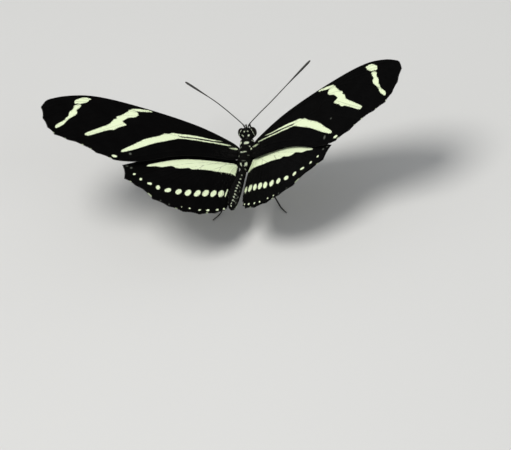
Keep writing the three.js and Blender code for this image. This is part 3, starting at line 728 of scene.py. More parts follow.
# -------------------------------------------------------------------- tufts
def tufts(root, normal, lie, length, width, lift, uv_root, patch=0.003, thick=0.35, curl=0.0, widest=0.45):
    """Closed tapering blades: three long faces and a root face. Returns verts, corners, counts, uv, tuft of each vertex, share along."""
    n = len(root)
    lie = unit(lie - (lie * normal).sum(1, keepdims=True) * normal)
    across = unit(np.cross(normal, lie))
    aim = lie * np.cos(lift)[:, None] + normal * np.sin(lift)[:, None]
    rise = unit(np.cross(aim, across)) * -1
    rise = np.where((rise * normal).sum(1, keepdims=True) < 0, -rise, rise)
    length, width = length[:, None], width[:, None]
    curl = np.broadcast_to(curl, (n,))[:, None]
    ring = []
    for at, w in ((0.0, 0.42), (widest, 1.0)):
        c = root + aim * length * at - normal * length * curl * at ** 2
        ring += [c - across * width * 0.5 * w, c + rise * width * thick * w, c + across * width * 0.5 * w]
    tip = root + aim * length - normal * length * curl
    verts = np.stack([*ring, tip], 1).reshape(-1, 3)
    one = np.array([0, 1, 4, 3, 1, 2, 5, 4, 2, 0, 3, 5, 3, 4, 6, 4, 5, 6, 5, 3, 6, 0, 2, 1])
    counts = np.tile([4, 4, 4, 3, 3, 3, 3], n)
    corners = (one[None] + 7 * np.arange(n)[:, None]).ravel()
    local = np.array([(0, 0), (.33, 0), (.33, widest), (0, widest), (.33, 0), (.66, 0), (.66, widest), (.33, widest),
                      (.66, 0), (1, 0), (1, widest), (.66, widest), (0, widest), (.33, widest), (.17, 1),
                      (.33, widest), (.66, widest), (.5, 1), (.66, widest), (1, widest), (.83, 1), (0, 0), (.66, 0), (.33, .3)])
    uv = (uv_root[:, None] + (local[None] - 0.5) * patch).reshape(-1, 2)
    tuft = np.repeat(np.arange(n), 7)
    along = np.tile([0, 0, 0, widest, widest, widest, 1.0], n)
    # the sign of a blade's first face decides whether all are turned
    a, b, c = verts[0], verts[1], verts[4]
    middle = verts[:7].mean(0)
    if np.dot(np.cross(b - a, c - a), a - middle) < 0:
        turned = []
        at = 0
        order = []
        for k in (4, 4, 4, 3, 3, 3, 3):
            order += list(range(at + k - 1, at - 1, -1))
            at += k
        order = np.array(order)
        corners = corners.reshape(n, -1)[:, order].ravel()
        uv = uv.reshape(n, -1, 2)[:, order].reshape(-1, 2)
    return verts, corners, counts, uv, tuft, along


def coat_object(name, pieces, material):
    """pieces: dicts for tufts() with pale (0..1) and tone of each."""
    parts = Parts()
    for p in pieces:
        pale, tone = p.pop("pale"), p.pop("tone")
        v, c, n, uv, tuft, along = tufts(**p)
        parts.add(v, c, n, uv, 0, pale=pale[tuft], tone=tone[tuft], along=along)
    ob = parts.make(name, (material,))
    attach(ob, "root")
    return ob


def to_uv(shell, st):
    (s0, s1), (t0, t1) = shell["box"]
    x, y, w, h = shell["uv_top"]
    flat = (st - [s0, t0]) / [s1 - s0, t1 - t0]
    return np.clip(flat, 0.004, 0.996) * [w, h] + [x, y]


def fringe(shell):
    """Scales of the margin: three rows, white between the veins' ends."""
    edge, cut, inward, n = shell["edge"], shell["cut"], shell["inward"], shell["n"]
    loop = np.vstack([edge, edge[:1]])
    at = np.concatenate([[0], np.cumsum(np.linalg.norm(np.diff(loop, axis=0), axis=1))])
    out = []
    ends = np.array(FORE_ENDS if shell["fore"] else [HIND_INNER[shell["side"]][-1], *HIND_ENDS])
    middles = (ends[1:] + ends[:-1]) / 2
    for row, (gap, reach) in enumerate(((0.055, 1.0), (0.05, 0.85), (0.06, 0.6))):
        where = np.arange(0.3, at[-1] - 0.3, gap) + rng.uniform(-0.02, 0.02, len(np.arange(0.3, at[-1] - 0.3, gap)))
        st = np.stack([np.interp(where, at, loop[:, k]) for k in (0, 1)], 1)
        inn = unit(np.stack([np.interp(where, at, np.append(inward[:, k], inward[0, k])) for k in (0, 1)], 1))
        deep = np.interp(where, at, np.append(cut, cut[0]))
        keep = (st[:, 0] > 2.6)
        st, inn, deep = st[keep], inn[keep], deep[keep]
        k = len(st)
        long = np.clip(deep - 0.02, 0.02, 1) * reach * rng.uniform(0.8, 1.05, k) + 0.09
        root = st + inn * 0.08
        p, ds, dt, nrm = wing_frame(shell["pose"], shell["camber"], root[:, 0], root[:, 1], shell["side"])
        way = -inn + np.stack([rng.normal(0.12, 0.12, k), rng.normal(-0.05, 0.12, k)], 1)
        lie = unit(ds * way[:, :1] + dt * way[:, 1:])
        nearest = np.min(np.linalg.norm(st[:, None] - (FORE_WHITE if shell["fore"] else middles)[None], axis=2), axis=1)
        spot = (nearest < (0.4 if shell["fore"] else 0.5)) & (rng.uniform(size=k) < 0.9) & (st[:, 0] > (26.5 if shell["fore"] else 2.5))
        if not shell["fore"]:
            spot |= (np.hypot(st[:, 0] - 17.4, st[:, 1] + 18.6) < 0.6)
        level = (-0.03, 0.0, 0.03)[row]
        out.append(dict(root=p + nrm * level, normal=nrm, lie=lie, length=long, width=rng.uniform(0.055, 0.085, k),
                        lift=rng.normal(0.0, 0.06, k), uv_root=to_uv(shell, root), thick=0.22,
                        pale=np.where(spot, 0.9, 0.0), tone=rng.uniform(0, 1, k)))
    return out


def root_hairs(shell, count):
    """Long fine hairs over the wing's root and along the inner edge."""
    if shell["fore"]:
        s = 1.9 + 5.5 * rng.beta(1.1, 2.4, count)
        f = rng.uniform(0.06, 0.94, count)
        high, low = np.interp(s, [1.9, 2.4, 4, 8], [2.3, 2.7, 3.3, 4.2]), np.interp(s, [1.9, 2.3, 4, 8.5], [-0.4, -0.8, -1.85, -3.15])
        st = np.stack([s, low + (high - low) * f], 1)
        way = np.stack([np.full(count, 1.0), rng.normal(-0.25, 0.15, count)], 1)
        pale = marks(st, FORE_PALE.values(), FORE_OVALS) > 0.0
    else:
        share = rng.uniform(size=count) ** 1.2
        t = -1.6 - 12.5 * share
        inner = np.array(HIND_INNER[shell["side"]])
        edge = np.interp(-t, -inner[:, 1], inner[:, 0])
        s = edge + 0.12 + rng.exponential(0.9, count)
        st = np.stack([s, t], 1)
        way = np.stack([rng.normal(0.1, 0.15, count), np.full(count, -1.0)], 1)
        pale = marks(st, [HIND_BAND], HIND_OVALS + HIND_OWN[shell["side"]]) > 0.0
        if shell["side"] == LEFT:
            pale &= s > 1.9
    p, ds, dt, nrm = wing_frame(shell["pose"], shell["camber"], st[:, 0], st[:, 1], shell["side"])
    lie = unit(ds * way[:, :1] + dt * way[:, 1:])
    up = rng.uniform(size=count) < 0.7
    sign = np.where(up, 1.0, -1.0)[:, None]
    return dict(root=p + nrm * sign * 0.09, normal=nrm * sign, lie=lie, length=rng.uniform(0.45, 0.95, count),
                width=rng.uniform(0.028, 0.05, count), lift=rng.uniform(0.03, 0.16, count), curl=0.06, uv_root=to_uv(shell, st),
                pale=np.where(pale, 0.95, 0.0), tone=rng.uniform(0, 1, count))


def inner_hairs(shell, count, length):
    """Long dark hairs of the hind wing's inner edge, turned down beside the abdomen."""
    t = rng.uniform(-15.2, -2.2, count)
    inner = np.array(HIND_INNER[shell["side"]])
    s = np.interp(-t, -inner[:, 1], inner[:, 0]) + rng.uniform(0.05, 0.3, count)
    st = np.stack([s, t], 1)
    p, ds, dt, nrm = wing_frame(shell["pose"], shell["camber"], s, t, shell["side"])
    lie = unit(-ds * rng.uniform(0.5, 0.9, count)[:, None] - dt * rng.uniform(0.7, 1.3, count)[:, None] - nrm * rng.uniform(0.1, 0.6, count)[:, None])
    normal = unit(nrm - (nrm * lie).sum(1, keepdims=True) * lie)
    return dict(root=p, normal=normal, lie=lie, length=rng.uniform(*length, count), width=rng.uniform(0.03, 0.055, count),
                lift=rng.uniform(0.0, 0.1, count), curl=0.08, uv_root=to_uv(shell, st), pale=np.zeros(count), tone=rng.uniform(0, 1, count))


for side, word in ((LEFT, "left"), (RIGHT, "right")):
    coat_object("forewing_fringe_" + word, fringe(shells["fore", side]), mat_fringe)
coat_object("hindwing_fringe", fringe(shells["hind", LEFT]) + fringe(shells["hind", RIGHT]), mat_fringe)
coat_object("wing_root_hairs", [root_hairs(shells["fore", s], 1500) for s in (LEFT, RIGHT)] + [root_hairs(shells["hind", s], 1500) for s in (LEFT, RIGHT)]
            + [inner_hairs(shells["hind", LEFT], 1000, (0.25, 0.5)), inner_hairs(shells["hind", RIGHT], 700, (0.3, 0.6))],
            mat_hair)

# --------------------------------------------------------------------- body
# x, y, z of the axis, half width, height up, height down, squareness
BODY = np.array([
    [-0.2, 7.0, -1.24, 0.12, 0.14, 0.14, 2.1], [-0.2, 6.94, -1.22, 0.34, 0.42, 0.46, 2.1], [-0.2, 6.8, -1.18, 0.54, 0.84, 0.86, 2.2],
    [-0.2, 6.4, -1.1, 0.68, 1.18, 1.12, 2.4], [-0.2, 6.0, -1.05, 0.9, 1.28, 1.18, 2.6], [-0.2, 5.65, -1.06, 1.32, 1.2, 1.14, 2.8],
    [-0.2, 5.35, -1.12, 1.5, 1.04, 1.04, 2.7], [-0.2, 5.1, -1.25, 1.3, 0.8, 0.84, 2.5], [-0.19, 4.92, -1.36, 0.98, 0.56, 0.62, 2.3],
    [-0.17, 4.78, -1.44, 0.9, 0.5, 0.56, 2.2], [-0.15, 4.62, -1.5, 1.0, 0.54, 0.62, 2.2], [-0.14, 4.45, -1.56, 1.14, 0.64, 0.72, 2.2],
    [-0.1, 4.1, -1.68, 1.4, 0.8, 0.9, 2.3], [-0.05, 3.3, -2.0, 1.5, 1.0, 1.2, 2.3], [-0.02, 2.4, -2.3, 1.46, 1.36, 1.5, 2.2],
    [0, 1.1, -2.5, 1.54, 1.86, 1.88, 2.2], [0, -0.4, -2.55, 1.58, 2.0, 2.02, 2.2], [0, -1.6, -2.6, 1.38, 1.6, 1.78, 2.2],
    [0, -2.6, -2.6, 0.96, 0.94, 1.28, 2.2], [-0.02, -3.05, -2.55, 0.6, 0.58, 0.7, 2.1], [-0.025, -3.3, -2.52, 0.48, 0.48, 0.5, 2.0],
    [-0.03, -3.6, -2.5, 0.5, 0.5, 0.54, 2.0], [-0.04, -3.95, -2.5, 0.62, 0.62, 0.66, 2.0], [-0.1, -5.2, -2.4, 0.7, 0.72, 0.76, 2.0],
    [-0.26, -7.2, -2.15, 0.93, 0.95, 0.96, 2.0], [-0.42, -9.2, -2.0, 1.1, 1.11, 1.11, 2.0], [-0.6, -11.2, -2.0, 1.17, 1.16, 1.16, 2.0],
    [-0.74, -13.0, -2.12, 1.1, 1.07, 1.08, 2.0], [-0.84, -14.5, -2.3, 0.85, 0.82, 0.86, 2.0], [-0.88, -15.2, -2.4, 0.5, 0.52, 0.54, 2.0],
    [-0.9, -15.55, -2.44, 0.15, 0.17, 0.17, 2.0]])[::-1]
RINGS_OF_ABDOMEN = np.array([-4.9, -6.4, -7.9, -9.4, -10.9, -12.3, -13.6, -14.7])
Y_BACK, Y_FRONT = BODY[0, 1], BODY[-1, 1]


def body_axis(y):
    c = pchip(BODY[:, 1], BODY, y)
    return c[:, 0], c[:, 2], c[:, 3], c[:, 4], c[:, 5], c[:, 6]


def body_skin(y, a):
    """Point of the skin at y and angle a, from the right side (0) over the back (90 degrees)."""
    x0, z0, w, up, down, sq = body_axis(y)
    ring = 1 - 0.06 * np.exp(-(np.min(np.abs(y[:, None] - RINGS_OF_ABDOMEN[None]), axis=1) / 0.11) ** 2)
    # shield and scutellum of the back: a shallow groove each side
    groove = 0.05 * np.exp(-((y + 1.25) / 0.16) ** 2) * step(0.3, 0.9, np.sin(a))
    ca, sa = np.cos(a), np.sin(a)
    k = 2 / sq
    w, up, down = w * ring, (up - groove) * ring, down * ring
    return np.stack([x0 + w * np.sign(ca) * np.abs(ca) ** k, y, z0 + np.where(sa > 0, up, down) * np.sign(sa) * np.abs(sa) ** k], -1)


def body_frame(y, a):
    p = body_skin(y, a)
    e = 0.004
    dy = unit(body_skin(np.minimum(y + e, Y_FRONT), a) - body_skin(np.maximum(y - e, Y_BACK), a))
    da = unit(body_skin(y, a + e) - body_skin(y, a - e))
    n = unit(np.cross(da, dy))
    x0, z0 = body_axis(y)[:2]
    out = p - np.stack([x0, y, z0], -1)
    n = np.where((n * out).sum(1, keepdims=True) < 0, -n, n)
    return p, dy, da, n


def body_uv(y, a):
    return np.stack([0.006 + 0.988 * ((a / (2 * np.pi)) % 1.0), 0.006 + 0.936 * (y - Y_BACK) / (Y_FRONT - Y_BACK)], -1)


# y, angle, half length along y, half width round the body, and how white
BODY_MARKS = [
    (5.46, 96, 0.10, 0.10, 1), (5.48, 78, 0.09, 0.11, 1), (5.04, 126, 0.11, 0.12, 1), (4.99, 64, 0.09, 0.17, 1), (4.36, 84, 0.07, 0.12, 0.5),
    (6.55, 112, 0.12, 0.12, 0.9), (6.55, 68, 0.12, 0.12, 0.9),
    (3.5, 142, 0.3, 0.28, 1), (3.08, 86, 0.4, 0.42, 1), (3.9, 30, 0.1, 0.3, 0.6), (3.9, 150, 0.1, 0.2, 0.6),
    (1.95, 55, 0.22, 0.18, 1), (1.96, 27, 0.24, 0.22, 1), (1.95, 125, 0.2, 0.15, 1), (1.96, 153, 0.24, 0.22, 1),
    (2.98, -6, 0.34, 0.36, 1), (2.98, 186, 0.34, 0.36, 1),
    (0.0, 107, 0.13, 0.34, 1), (-0.24, 93, 0.13, 0.42, 1), (-0.05, 79, 0.13, 0.34, 1), (-0.78, 52, 0.11, 0.24, 0.35), (-0.78, 128, 0.11, 0.24, 0.35),
    (-2.02, 88, 0.08, 0.36, 0.3), (-2.5, 124, 0.28, 0.24, 1), (-2.58, 56, 0.3, 0.34, 1),
    (-3.78, 30, 0.26, 0.2, 0.45), (-3.78, 150, 0.26, 0.2, 0.45),
    (0.2, -6, 0.5, 0.28, 1), (0.2, 186, 0.5, 0.28, 1), (2.2, -38, 0.36, 0.3, 1), (2.2, 218, 0.36, 0.3, 1), (0.6, -52, 0.5, 0.28, 1), (0.6, 232, 0.5, 0.28, 1),
    (-1.2, -45, 0.5, 0.28, 1), (-1.2, 225, 0.5, 0.28, 1), (6.3, -60, 0.3, 0.16, 0.8), (6.3, 240, 0.3, 0.16, 0.8),
]
BACK_ROW = [(-6.22, 60), (-7.74, 55), (-8.94, 57), (-9.94, 62), (-10.7, 66), (-11.6, 68), (-12.4, 66), (-13.12, 70), (-13.86, 74), (-14.55, 90), (-15.04, 88)]
for k, (y, a) in enumerate(BACK_ROW):
    big = (0.75, 0.95, 1.05, 1.05, 1.0, 1.0, 1.0, 0.95, 0.9, 0.75, 0.6)[k]
    BODY_MARKS.append((y, a, 0.2 * big, 0.17 * big, 1))
    if 2 <= k <= 8:
        BODY_MARKS.append((y - 0.16, a - 20, 0.055, 0.2, 0.4))
for y in (-11.14, -12.7, -14.14):
    BODY_MARKS.append((y, 27, 0.15, 0.09, 0.5))
for y in (-9.6, -11.14, -12.7, -14.0):
    BODY_MARKS.append((y, 150, 0.15, 0.09, 0.4))
for y in (-6.6, -8.1, -9.6, -11.0, -12.4, -13.6, -14.6):
    for a in (-32, 212):
        BODY_MARKS.append((y, a, 0.5, 0.14, 0.9))
for y in (-5.2, -6.7, -8.2, -9.7, -11.2, -12.6, -13.8):
    BODY_MARKS.append((y, -90, 0.42, 0.16, 0.9))


def body_pale(y, a):
    """Depth in the body's pale marks, and how white the deepest is."""
    _, _, w, up, down, _ = body_axis(y)
    mean = (w + up) / 2
    depth, white = np.full(len(y), -0.6), np.zeros(len(y))
    for my, ma, ly, la, strength in BODY_MARKS:
        turn = (a - math.radians(ma) + np.pi) % (2 * np.pi) - np.pi
        k = np.hypot((y - my) / ly, turn * mean / la)
        d = (1 - k) * min(ly, la)
        better = d > depth
        depth, white = np.where(better, d, depth), np.where(better, strength, white)
    return depth, white


def lofted_skin(parts):
    ys = [np.linspace(Y_BACK, -15.2, 26)[:-1], np.linspace(-15.2, 4.3, 330)[:-1], np.linspace(4.3, 6.8, 100)[:-1], np.linspace(6.8, Y_FRONT, 26)]
    y = np.concatenate(ys)
    sides = 112
    yy, aa = np.meshgrid(y, np.arange(sides) / sides * 2 * np.pi, indexing="ij")
    yy, aa = yy.ravel(), aa.ravel()
    v = body_skin(yy, aa)
    quads, ci, cj = grid_faces(len(y), sides, True)
    u = 0.006 + 0.988 * cj / sides
    w = 0.006 + 0.936 * (y[ci] - Y_BACK) / (Y_FRONT - Y_BACK)
    uv = np.stack([u, w], -1).reshape(-1, 2)
    depth, white = body_pale(yy, aa)
    pale = np.where(white > 0.7, depth, depth - 0.05)
    # ends
    first, last = len(v), len(v) + 1
    x0, z0 = body_axis(y[[0, -1]])[:2]
    v = np.vstack([v, [x0[0], y[0] - 0.02, z0[0]], [x0[1], y[-1] + 0.01, z0[1]]])
    j = np.arange(sides)
    cap0 = np.stack([np.full(sides, first), (j + 1) % sides, j], 1)
    base = (len(y) - 1) * sides
    cap1 = np.stack([np.full(sides, last), base + j, base + (j + 1) % sides], 1)
    cap_uv = lambda high, swap: np.stack([np.stack([0.006 + 0.988 * (j + 0.5) / sides, np.full(sides, 0.9465 if high else 0.0015)], -1),
                                          np.stack([0.006 + 0.988 * (j + (0 if swap else 1)) / sides, np.full(sides, 0.942 if high else 0.006)], -1),
                                          np.stack([0.006 + 0.988 * (j + (1 if swap else 0)) / sides, np.full(sides, 0.942 if high else 0.006)], -1)], 1).reshape(-1, 2)
    p, n = v[quads[0]], v[quads[0]].mean(0) - [x0[0], y[0], z0[0]]
    turn = np.dot(np.cross(v[quads[5000, 1]] - v[quads[5000, 0]], v[quads[5000, 2]] - v[quads[5000, 0]]),
                  v[quads[5000, 0]] - [body_axis(v[quads[5000, :1], 1])[0][0], v[quads[5000, 0], 1], body_axis(v[quads[5000, :1], 1])[1][0]]) < 0
    if turn:
        quads = quads[:, ::-1]
        uv = uv.reshape(-1, 4, 2)[:, ::-1].reshape(-1, 2)
        cap0, cap1 = cap0[:, ::-1], cap1[:, ::-1]
        uv0, uv1 = (cap_uv(False, False).reshape(-1, 3, 2)[:, ::-1].reshape(-1, 2), cap_uv(True, True).reshape(-1, 3, 2)[:, ::-1].reshape(-1, 2))
    else:
        uv0, uv1 = cap_uv(False, False), cap_uv(True, True)
    corners = np.concatenate([quads.ravel(), cap0.ravel(), cap1.ravel()])
    counts = np.concatenate([np.full(len(quads), 4), np.full(2 * sides, 3)])
    parts.add(v, corners, counts, np.vstack([uv, uv0, uv1]), 0, pale=np.append(pale, [-0.6, -0.6]))


# ------------------------------------------------------------ round limbs
def centripetal(points, count):
    """Smooth curve through 3-D points, evenly spaced; close to the frame's."""
    p = np.array(points, float)
    ext = np.vstack([2 * p[0] - p[1], p, 2 * p[-1] - p[-2]])
    out = []
    for i in range(1, len(ext) - 2):
        a, b, c, d = ext[i - 1:i + 3]
        t0 = 0.0
        t1 = t0 + np.linalg.norm(b - a) ** 0.5
        t2 = t1 + np.linalg.norm(c - b) ** 0.5
        t3 = t2 + np.linalg.norm(d - c) ** 0.5
        t = np.linspace(t1, t2, 24, endpoint=False)[:, None]
        a1, a2, a3 = (t1 - t) / (t1 - t0) * a + (t - t0) / (t1 - t0) * b, (t2 - t) / (t2 - t1) * b + (t - t1) / (t2 - t1) * c, (t3 - t) / (t3 - t2) * c + (t - t2) / (t3 - t2) * d
        b1, b2 = (t2 - t) / (t2 - t0) * a1 + (t - t0) / (t2 - t0) * a2, (t3 - t) / (t3 - t1) * a2 + (t - t1) / (t3 - t1) * a3
        out.append((t2 - t) / (t2 - t1) * b1 + (t - t1) / (t2 - t1) * b2)
    out.append(p[-1:])
    return evenly(np.vstack(out), count)


def tube_frames(path):
    tangent = unit(np.gradient(path, axis=0))
    normal = np.zeros_like(path)
    n = np.cross(tangent[0], [0.3, 0.2, 1.0])
    n /= np.linalg.norm(n)
    for i, t in enumerate(tangent):
        n = n - t * np.dot(n, t)
        n /= np.linalg.norm(n)
        normal[i] = n
    return tangent, normal, np.cross(tangent, normal)


def tube(path, radius, sides=16, uv_box=(0, 0, 1, 1), flat=1.0):
    """Closed round limb with pointed-round ends. uv_box is x, y, width, height of its map."""
    tangent, normal, binormal = tube_frames(path)
    count = len(path)
    a = np.arange(sides) / sides * 2 * np.pi
    ring = normal[:, None] * np.cos(a)[None, :, None] + binormal[:, None] * (np.sin(a) * flat)[None, :, None]
    v = (path[:, None] + ring * radius[:, None, None]).reshape(-1, 3)
    quads, ci, cj = grid_faces(count, sides, True)
    quads, ci, cj = quads[:, ::-1], ci[:, ::-1], cj[:, ::-1]
    x, y, w, h = uv_box
    uv = np.stack([x + w * (0.01 + 0.98 * ci / (count - 1)), y + h * (0.02 + 0.96 * cj / sides)], -1).reshape(-1, 2)
    j = np.arange(sides)
    v = np.vstack([v, path[0] - tangent[0] * radius[0] * 0.5, path[-1] + tangent[-1] * radius[-1] * 0.5])
    f, l = count * sides, count * sides + 1
    base = (count - 1) * sides
    caps = np.vstack([np.stack([np.full(sides, f), j, (j + 1) % sides], 1), np.stack([np.full(sides, l), base + (j + 1) % sides, base + j], 1)])
    caps = caps[:, ::-1]
    row = lambda k: y + h * (0.02 + 0.96 * k / sides)
    e = 0.008 * w
    uv0 = np.stack([np.stack([np.full(sides, x + w * 0.01), row(j + 1)], -1), np.stack([np.full(sides, x + w * 0.01), row(j)], -1),
                    np.stack([np.full(sides, x + w * 0.01 - e), row(j + 0.5)], -1)], 1)
    uv1 = np.stack([np.stack([np.full(sides, x + w * 0.99), row(j)], -1), np.stack([np.full(sides, x + w * 0.99), row(j + 1)], -1),
                    np.stack([np.full(sides, x + w * 0.99 + e), row(j + 0.5)], -1)], 1)
    quads = quads[:, ::-1]
    uv = uv.reshape(-1, 4, 2)[:, ::-1].reshape(-1, 2)
    caps = caps[:, ::-1]
    capuv = np.vstack([uv0, uv1])[:, ::-1].reshape(-1, 2)
    corners = np.concatenate([quads.ravel(), caps.ravel()])
    counts = np.concatenate([np.full(len(quads), 4), np.full(len(caps), 3)])
    angle = np.concatenate([np.tile(a, count), [0, 0]])
    share = np.concatenate([np.repeat(np.linspace(0, 1, count), sides), [0, 1]])
    return v, corners, counts, np.vstack([uv, capuv]), share, angle


PALP = [[0.26, 6.55, -1.95], [0.36, 7.05, -2.12], [0.4, 7.35, -2.0], [0.44, 7.7, -1.72], [0.44, 7.94, -1.12], [0.41, 8.02, -0.5]]


def palp_path(side):
    return centripetal([[-0.2 + side * x, y, z] for x, y, z in PALP], 60)


skin_parts = Parts()
lofted_skin(skin_parts)
for side in (LEFT, RIGHT):
    path = palp_path(side)
    u = np.linspace(0, 1, len(path))
    radius = 0.19 - 0.05 * u - 0.03 * np.exp(-((u - 0.45) / 0.03) ** 2) - 0.05 * step(0.9, 1, u)
    v, c, n, uv, share, angle = tube(path, radius, 20, (0.01 if side == LEFT else 0.51, 0.956, 0.48, 0.038))
    skin_parts.add(v, c, n, uv, 0, pale=np.full(len(v), -0.6))
skin = skin_parts.make("body_skin", (mat_skin,))
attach(skin, "root")
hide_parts("head", "thorax", "abdomen", "palp_left", "palp_right")

# --------------------------------------------------------------------- eyes
EYE_OUT, EYE_R = 1.14, np.array([0.86, 0.94, 1.22])
HEAD_C = np.array([-0.2, 6.0, -1.05])


def eye_centre(side):
    return HEAD_C + [side * EYE_OUT, 0.22, 0.02]


eye_parts = {}
for side, word in ((LEFT, "left"), (RIGHT, "right")):
    rows, cols = 72, 96
    la = np.linspace(-np.pi / 2, np.pi / 2, rows)[1:-1]
    lo = np.arange(cols) / cols * 2 * np.pi
    A, O = np.meshgrid(la, lo, indexing="ij")
    # the pole points sideways, away from the head
    d = np.stack([side * np.sin(A), np.cos(A) * np.cos(O), np.cos(A) * np.sin(O)], -1).reshape(-1, 3)
    v = eye_centre(side) + d * (EYE_R - 0.02)
    poles = eye_centre(side) + np.array([[-side * (EYE_R[0] - 0.02), 0, 0], [side * (EYE_R[0] - 0.02), 0, 0]])
    quads, ci, cj = grid_faces(rows - 2, cols, True)
    v = np.vstack([v, poles])
    k = len(v)
    j = np.arange(cols)
    base = (rows - 3) * cols
    tri = np.vstack([np.stack([np.full(cols, k - 2), (j + 1) % cols, j], 1), np.stack([np.full(cols, k - 1), base + j, base + (j + 1) % cols], 1)])
    out = v - eye_centre(side)
    flip = np.dot(np.cross(v[quads[3000, 1]] - v[quads[3000, 0]], v[quads[3000, 2]] - v[quads[3000, 0]]), out[quads[3000, 0]]) < 0
    # flat round map: the pole in the middle, the hidden inner side at the rim
    lat = np.concatenate([A.ravel(), [-np.pi / 2, np.pi / 2]])
    lon = np.concatenate([O.ravel(), [0, 0]])
    r = (np.pi / 2 - lat) / np.pi * 0.49
    flat = np.stack([0.5 + r * np.cos(lon), 0.5 + r * np.sin(lon)], -1)
    tri_uv = np.stack([flat[tri[:, 0]], flat[tri[:, 1]], flat[tri[:, 2]]], 1)
    mid = 0.5 + 0.4895 * np.stack([np.cos((j + 0.5) / cols * 2 * np.pi), np.sin((j + 0.5) / cols * 2 * np.pi)], -1)
    tri_uv[:cols, 0] = mid
    tri_uv[:cols, 1:] = 0.5 + (tri_uv[:cols, 1:] - 0.5)
    quad_uv = flat[quads]
    if flip:
        quads, quad_uv, tri, tri_uv = quads[:, ::-1], quad_uv[:, ::-1], tri[:, ::-1], tri_uv[:, ::-1]
    ob = build("compound_eye_" + word, v, np.concatenate([quads.ravel(), tri.ravel()]),
               np.concatenate([np.full(len(quads), 4), np.full(len(tri), 3)]), np.vstack([quad_uv.reshape(-1, 2), tri_uv.reshape(-1, 2)]),
               {}, (mat_eye,), vectors={"st": np.column_stack([flat, np.zeros(len(flat))])})
    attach(ob, "root")
    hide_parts("eye_" + word)

# --------------------------------------------------------------- body coat
def body_tufts(count, y0, y1, angle0, angle1, length, width, lift, name=None, extra=None, wavy=0.12, way=-1.0, spread=None):
    """Tufts strewn evenly over the skin between y0 and y1 and two angles, lying backwards."""
    y = rng.uniform(y0, y1, count * 3)
    a = np.radians(rng.uniform(angle0, angle1, count * 3))
    _, _, w, up, down, _ = body_axis(y)
    girth = (w + np.where(np.sin(a) > 0, up, down)) / 2
    keep = rng.uniform(size=len(y)) < girth / 2.2
    y, a = y[keep][:count], a[keep][:count]
    p, dy, da, n = body_frame(y, a)
    for side in (LEFT, RIGHT):
        inside_eye = (((p - eye_centre(side)) / (EYE_R * 0.97)) ** 2).sum(1) < 1
        y, a, p, dy, da, n = (x[~inside_eye] for x in (y, a, p, dy, da, n))
    k = len(y)
    depth, white = body_pale(y, a)
    jag = rng.normal(0, 0.035, k)
    pale = np.where(depth + jag > 0, white, 0.0)
    lie = dy * way + da * rng.normal(0, wavy, k)[:, None]
    if spread is not None:
        lie = lie + spread(y, a, p)
    return dict(root=p - n * 0.01, normal=n, lie=lie, length=rng.uniform(*length, k), width=rng.uniform(*width, k),
                lift=rng.uniform(*lift, k), curl=0.05, uv_root=body_uv(y, a), pale=pale, tone=rng.uniform(0, 1, k))


abdomen_coat = [body_tufts(9800, -15.45, -3.3, 0, 360, (0.18, 0.30), (0.075, 0.12), (0.10, 0.22)),
                body_tufts(1200, -6.0, -2.6, 0, 360, (0.3, 0.6), (0.035, 0.06), (0.12, 0.3))]
thorax_coat = [body_tufts(10500, -3.2, 4.4, 0, 360, (0.18, 0.34), (0.065, 0.105), (0.12, 0.28)),
               body_tufts(3600, -2.9, 3.9, -200, 20, (0.45, 0.85), (0.035, 0.06), (0.15, 0.35)),
               body_tufts(1300, -2.6, 3.6, 20, 160, (0.3, 0.5), (0.028, 0.045), (0.12, 0.3), wavy=0.3)]
head_coat = [body_tufts(6800, 4.4, 6.92, 0, 360, (0.10, 0.17), (0.042, 0.068), (0.12, 0.32)),
             body_tufts(600, 5.9, 6.9, 30, 150, (0.25, 0.42), (0.028, 0.045), (0.5, 0.9), way=0.6),
             body_tufts(1000, 4.4, 5.0, -20, 200, (0.2, 0.34), (0.03, 0.05), (0.2, 0.45))]

# the line behind and above each eye where its white scales stand
EYE_RIM = {
    RIGHT: [[0.40, 6.42, 0.10], [0.62, 6.22, 0.19], [0.89, 5.93, 0.13], [1.06, 5.71, -0.02], [1.2, 5.52, -0.3], [1.3, 5.43, -0.69], [1.38, 5.42, -1.1], [1.4, 5.5, -1.5],
            [1.3, 5.7, -1.9]],
    LEFT: [[-0.80, 6.42, 0.10], [-1.0, 6.15, 0.17], [-1.22, 5.83, 0.07], [-1.4, 5.62, -0.12], [-1.65, 5.47, -0.46], [-1.79, 5.43, -0.86], [-1.85, 5.5, -1.28],
           [-1.75, 5.7, -1.8]],
}


